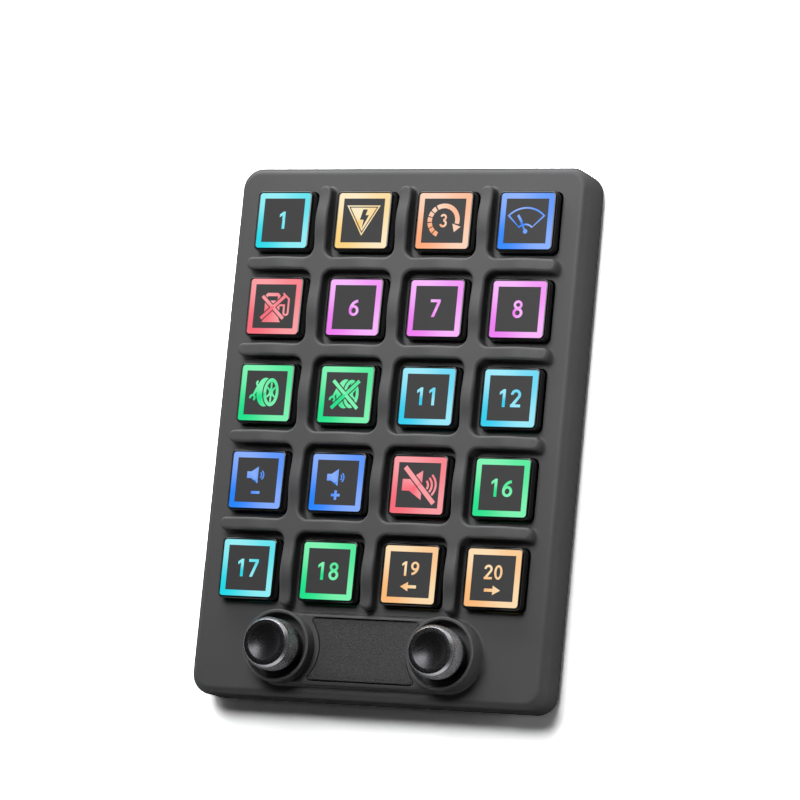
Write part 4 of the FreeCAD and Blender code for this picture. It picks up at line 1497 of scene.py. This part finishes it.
def floor_material():
    """Matt paper. Right of the panel it throws light back onto the side wall, and elsewhere it keeps dark
    to scattered light. To the eye it is white beyond the panel's shadow."""
    made, tree, where = begun("backdrop_paper", (1, 1, 1))
    eye, mirrored = kinds_of_rays(tree)
    right = add(tree, "ShaderNodeSeparateXYZ", {"Vector": where}).outputs["X"]
    thrown = add(tree, "ShaderNodeMapRange", between(right, PAPER_DARK, PAPER_PALE, *PAPER_STRIP))
    white = add(tree, "ShaderNodeMath", {0: eye, 1: PAPER_LIFT}, operation="MULTIPLY")
    paper = add(tree, "ShaderNodeBsdfDiffuse", {
        "Color": add(tree, "ShaderNodeMath", {0: thrown, 1: white}, operation="MAXIMUM")})
    reach = add(tree, "ShaderNodeVectorMath", {0: where}, operation="LENGTH").outputs["Value"]
    far = add(tree, "ShaderNodeMapRange", between(reach, GLOW_NEAR, GLOW_FAR, *GLOW_RISE))
    shown = add(tree, "ShaderNodeMath", {0: eye, 1: mirrored}, operation="MAXIMUM")
    glow = add(tree, "ShaderNodeEmission", {
        "Strength": add(tree, "ShaderNodeMath", {0: far, 1: shown}, operation="MULTIPLY")})
    both = add(tree, "ShaderNodeAddShader", {0: paper, 1: glow})
    add(tree, "ShaderNodeOutputMaterial", {"Surface": both})
    return made


def world_light(strength):
    """White to the eye, dim to scattered light, and in reflections a room with white walls, a dark ceiling
    and an opening at the right."""
    world = bpy.data.worlds.new("studio")
    bpy.context.scene.world = world
    world.use_nodes = True
    tree = world.node_tree
    tree.nodes.clear()
    where = add(tree, "ShaderNodeTexCoord", {}).outputs["Generated"]
    reach = add(tree, "ShaderNodeSeparateXYZ", {"Vector": where}).outputs
    walls = add(tree, "ShaderNodeMapRange", between(reach["Z"], *WALLS))
    opening = add(tree, "ShaderNodeMapRange", between(reach["X"], *OPENING))
    room = add(tree, "ShaderNodeMath", {0: walls, 1: opening}, operation="MULTIPLY")
    lean = add(tree, "ShaderNodeVectorMath", {0: where, 1: LEAN}, operation="DOT_PRODUCT").outputs["Value"]
    dim = add(tree, "ShaderNodeMapRange", between(lean, LEAN_LEAST * strength, strength, *LEAN_RISE))
    eye, mirrored = kinds_of_rays(tree)
    unseen = add(tree, "ShaderNodeMix", {0: mirrored, "A": dim, "B": room})
    seen = add(tree, "ShaderNodeMix", {0: eye, "A": unseen, "B": 1.0})
    sky = add(tree, "ShaderNodeBackground", {"Color": (1, 1, 1, 1), "Strength": seen})
    add(tree, "ShaderNodeOutputWorld", {"Surface": sky})


def area_light(name, watts, place, aim, width, depth, beam):
    """Adds a rectangular lamp that shines at a point."""
    data = bpy.data.lights.new(name, "AREA")
    data.spread = math.radians(beam)
    data.shape = "RECTANGLE"
    data.energy = watts
    data.size, data.size_y = width, depth
    lamp = bpy.data.objects.new(name, data)
    bpy.context.scene.collection.objects.link(lamp)
    lamp.location = place
    lamp.rotation_euler = (Vector(aim) - Vector(place)).to_track_quat("-Z", "Y").to_euler()
    return lamp


def aimed_camera(settings):
    """Adds the camera at its eye point, turned to its right and upward directions."""
    data = bpy.data.cameras.new("camera")
    data.lens = settings.lens
    camera = bpy.data.objects.new("camera", data)
    bpy.context.scene.collection.objects.link(camera)
    right, up = Vector(settings.right), Vector(settings.up)
    turned = Matrix((right, up, right.cross(up))).transposed().to_4x4()
    camera.matrix_world = Matrix.Translation(settings.eye) @ turned
    bpy.context.scene.camera = camera


class KEYPANEL_OT_stage(bpy.types.Operator):
    """Set the camera, the soft lights and the pale floor"""
    bl_idname = "key_panel.stage"
    bl_label = "Stage"
    bl_options = {"REGISTER", "UNDO"}

    def execute(self, context):
        settings = context.scene.key_panel_stage
        aimed_camera(settings)
        half = settings.floor_width / 2
        floor = sheet("floor", (-half, -half), (half, half), 0)
        floor.data.materials.append(floor_material())
        area_light("key_light", settings.key_power, *KEY_LAMP)
        area_light("top_light", settings.top_power, *TOP_LAMP)
        side = area_light("side_light", settings.side_power, *SIDE_LAMP)
        # Its mirror image would show as a hard spot on the knobs.
        side.visible_glossy = False
        world_light(settings.fill)
        context.scene.view_settings.view_transform = "Standard"
        return {"FINISHED"}


# The add-on

GROUPS = {
    "key_panel_housing": HousingSizes,
    "key_panel_island": IslandSizes,
    "key_panel_keys": KeySizes,
    "key_panel_knobs": KnobSizes,
    "key_panel_back": BackSizes,
    "key_panel_colours": PanelColours,
    "key_panel_stage": StageSettings,
}
OPERATORS = (KEYPANEL_OT_stage, KEYPANEL_OT_housing, KEYPANEL_OT_name_plate, KEYPANEL_OT_keys,
             KEYPANEL_OT_legends, KEYPANEL_OT_knobs, KEYPANEL_OT_back, KEYPANEL_OT_inner_pieces)


class KEYPANEL_PT_sidebar(bpy.types.Panel):
    """Buttons for the pieces of the key panel"""
    bl_idname = "KEYPANEL_PT_sidebar"
    bl_label = "Key Panel"
    bl_space_type = "VIEW_3D"
    bl_region_type = "UI"
    bl_category = "Key Panel"

    def draw(self, context):
        for operator in OPERATORS:
            self.layout.operator(operator.bl_idname)


def register():
    for name, group in GROUPS.items():
        bpy.utils.register_class(group)
        setattr(bpy.types.Scene, name, bpy.props.PointerProperty(type=group))
    for operator in OPERATORS:
        bpy.utils.register_class(operator)
    bpy.utils.register_class(KEYPANEL_PT_sidebar)


def unregister():
    bpy.utils.unregister_class(KEYPANEL_PT_sidebar)
    for operator in reversed(OPERATORS):
        bpy.utils.unregister_class(operator)
    for name, group in reversed(GROUPS.items()):
        delattr(bpy.types.Scene, name)
        bpy.utils.unregister_class(group)


def main():
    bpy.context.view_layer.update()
    register()
    bpy.ops.key_panel.stage()
    bpy.ops.key_panel.housing()
    bpy.ops.key_panel.name_plate()
    bpy.ops.key_panel.keys()
    bpy.ops.key_panel.legends()
    bpy.ops.key_panel.knobs()
    bpy.ops.key_panel.back()
    bpy.ops.key_panel.inner_pieces()


if __name__ == "__main__":
    main()
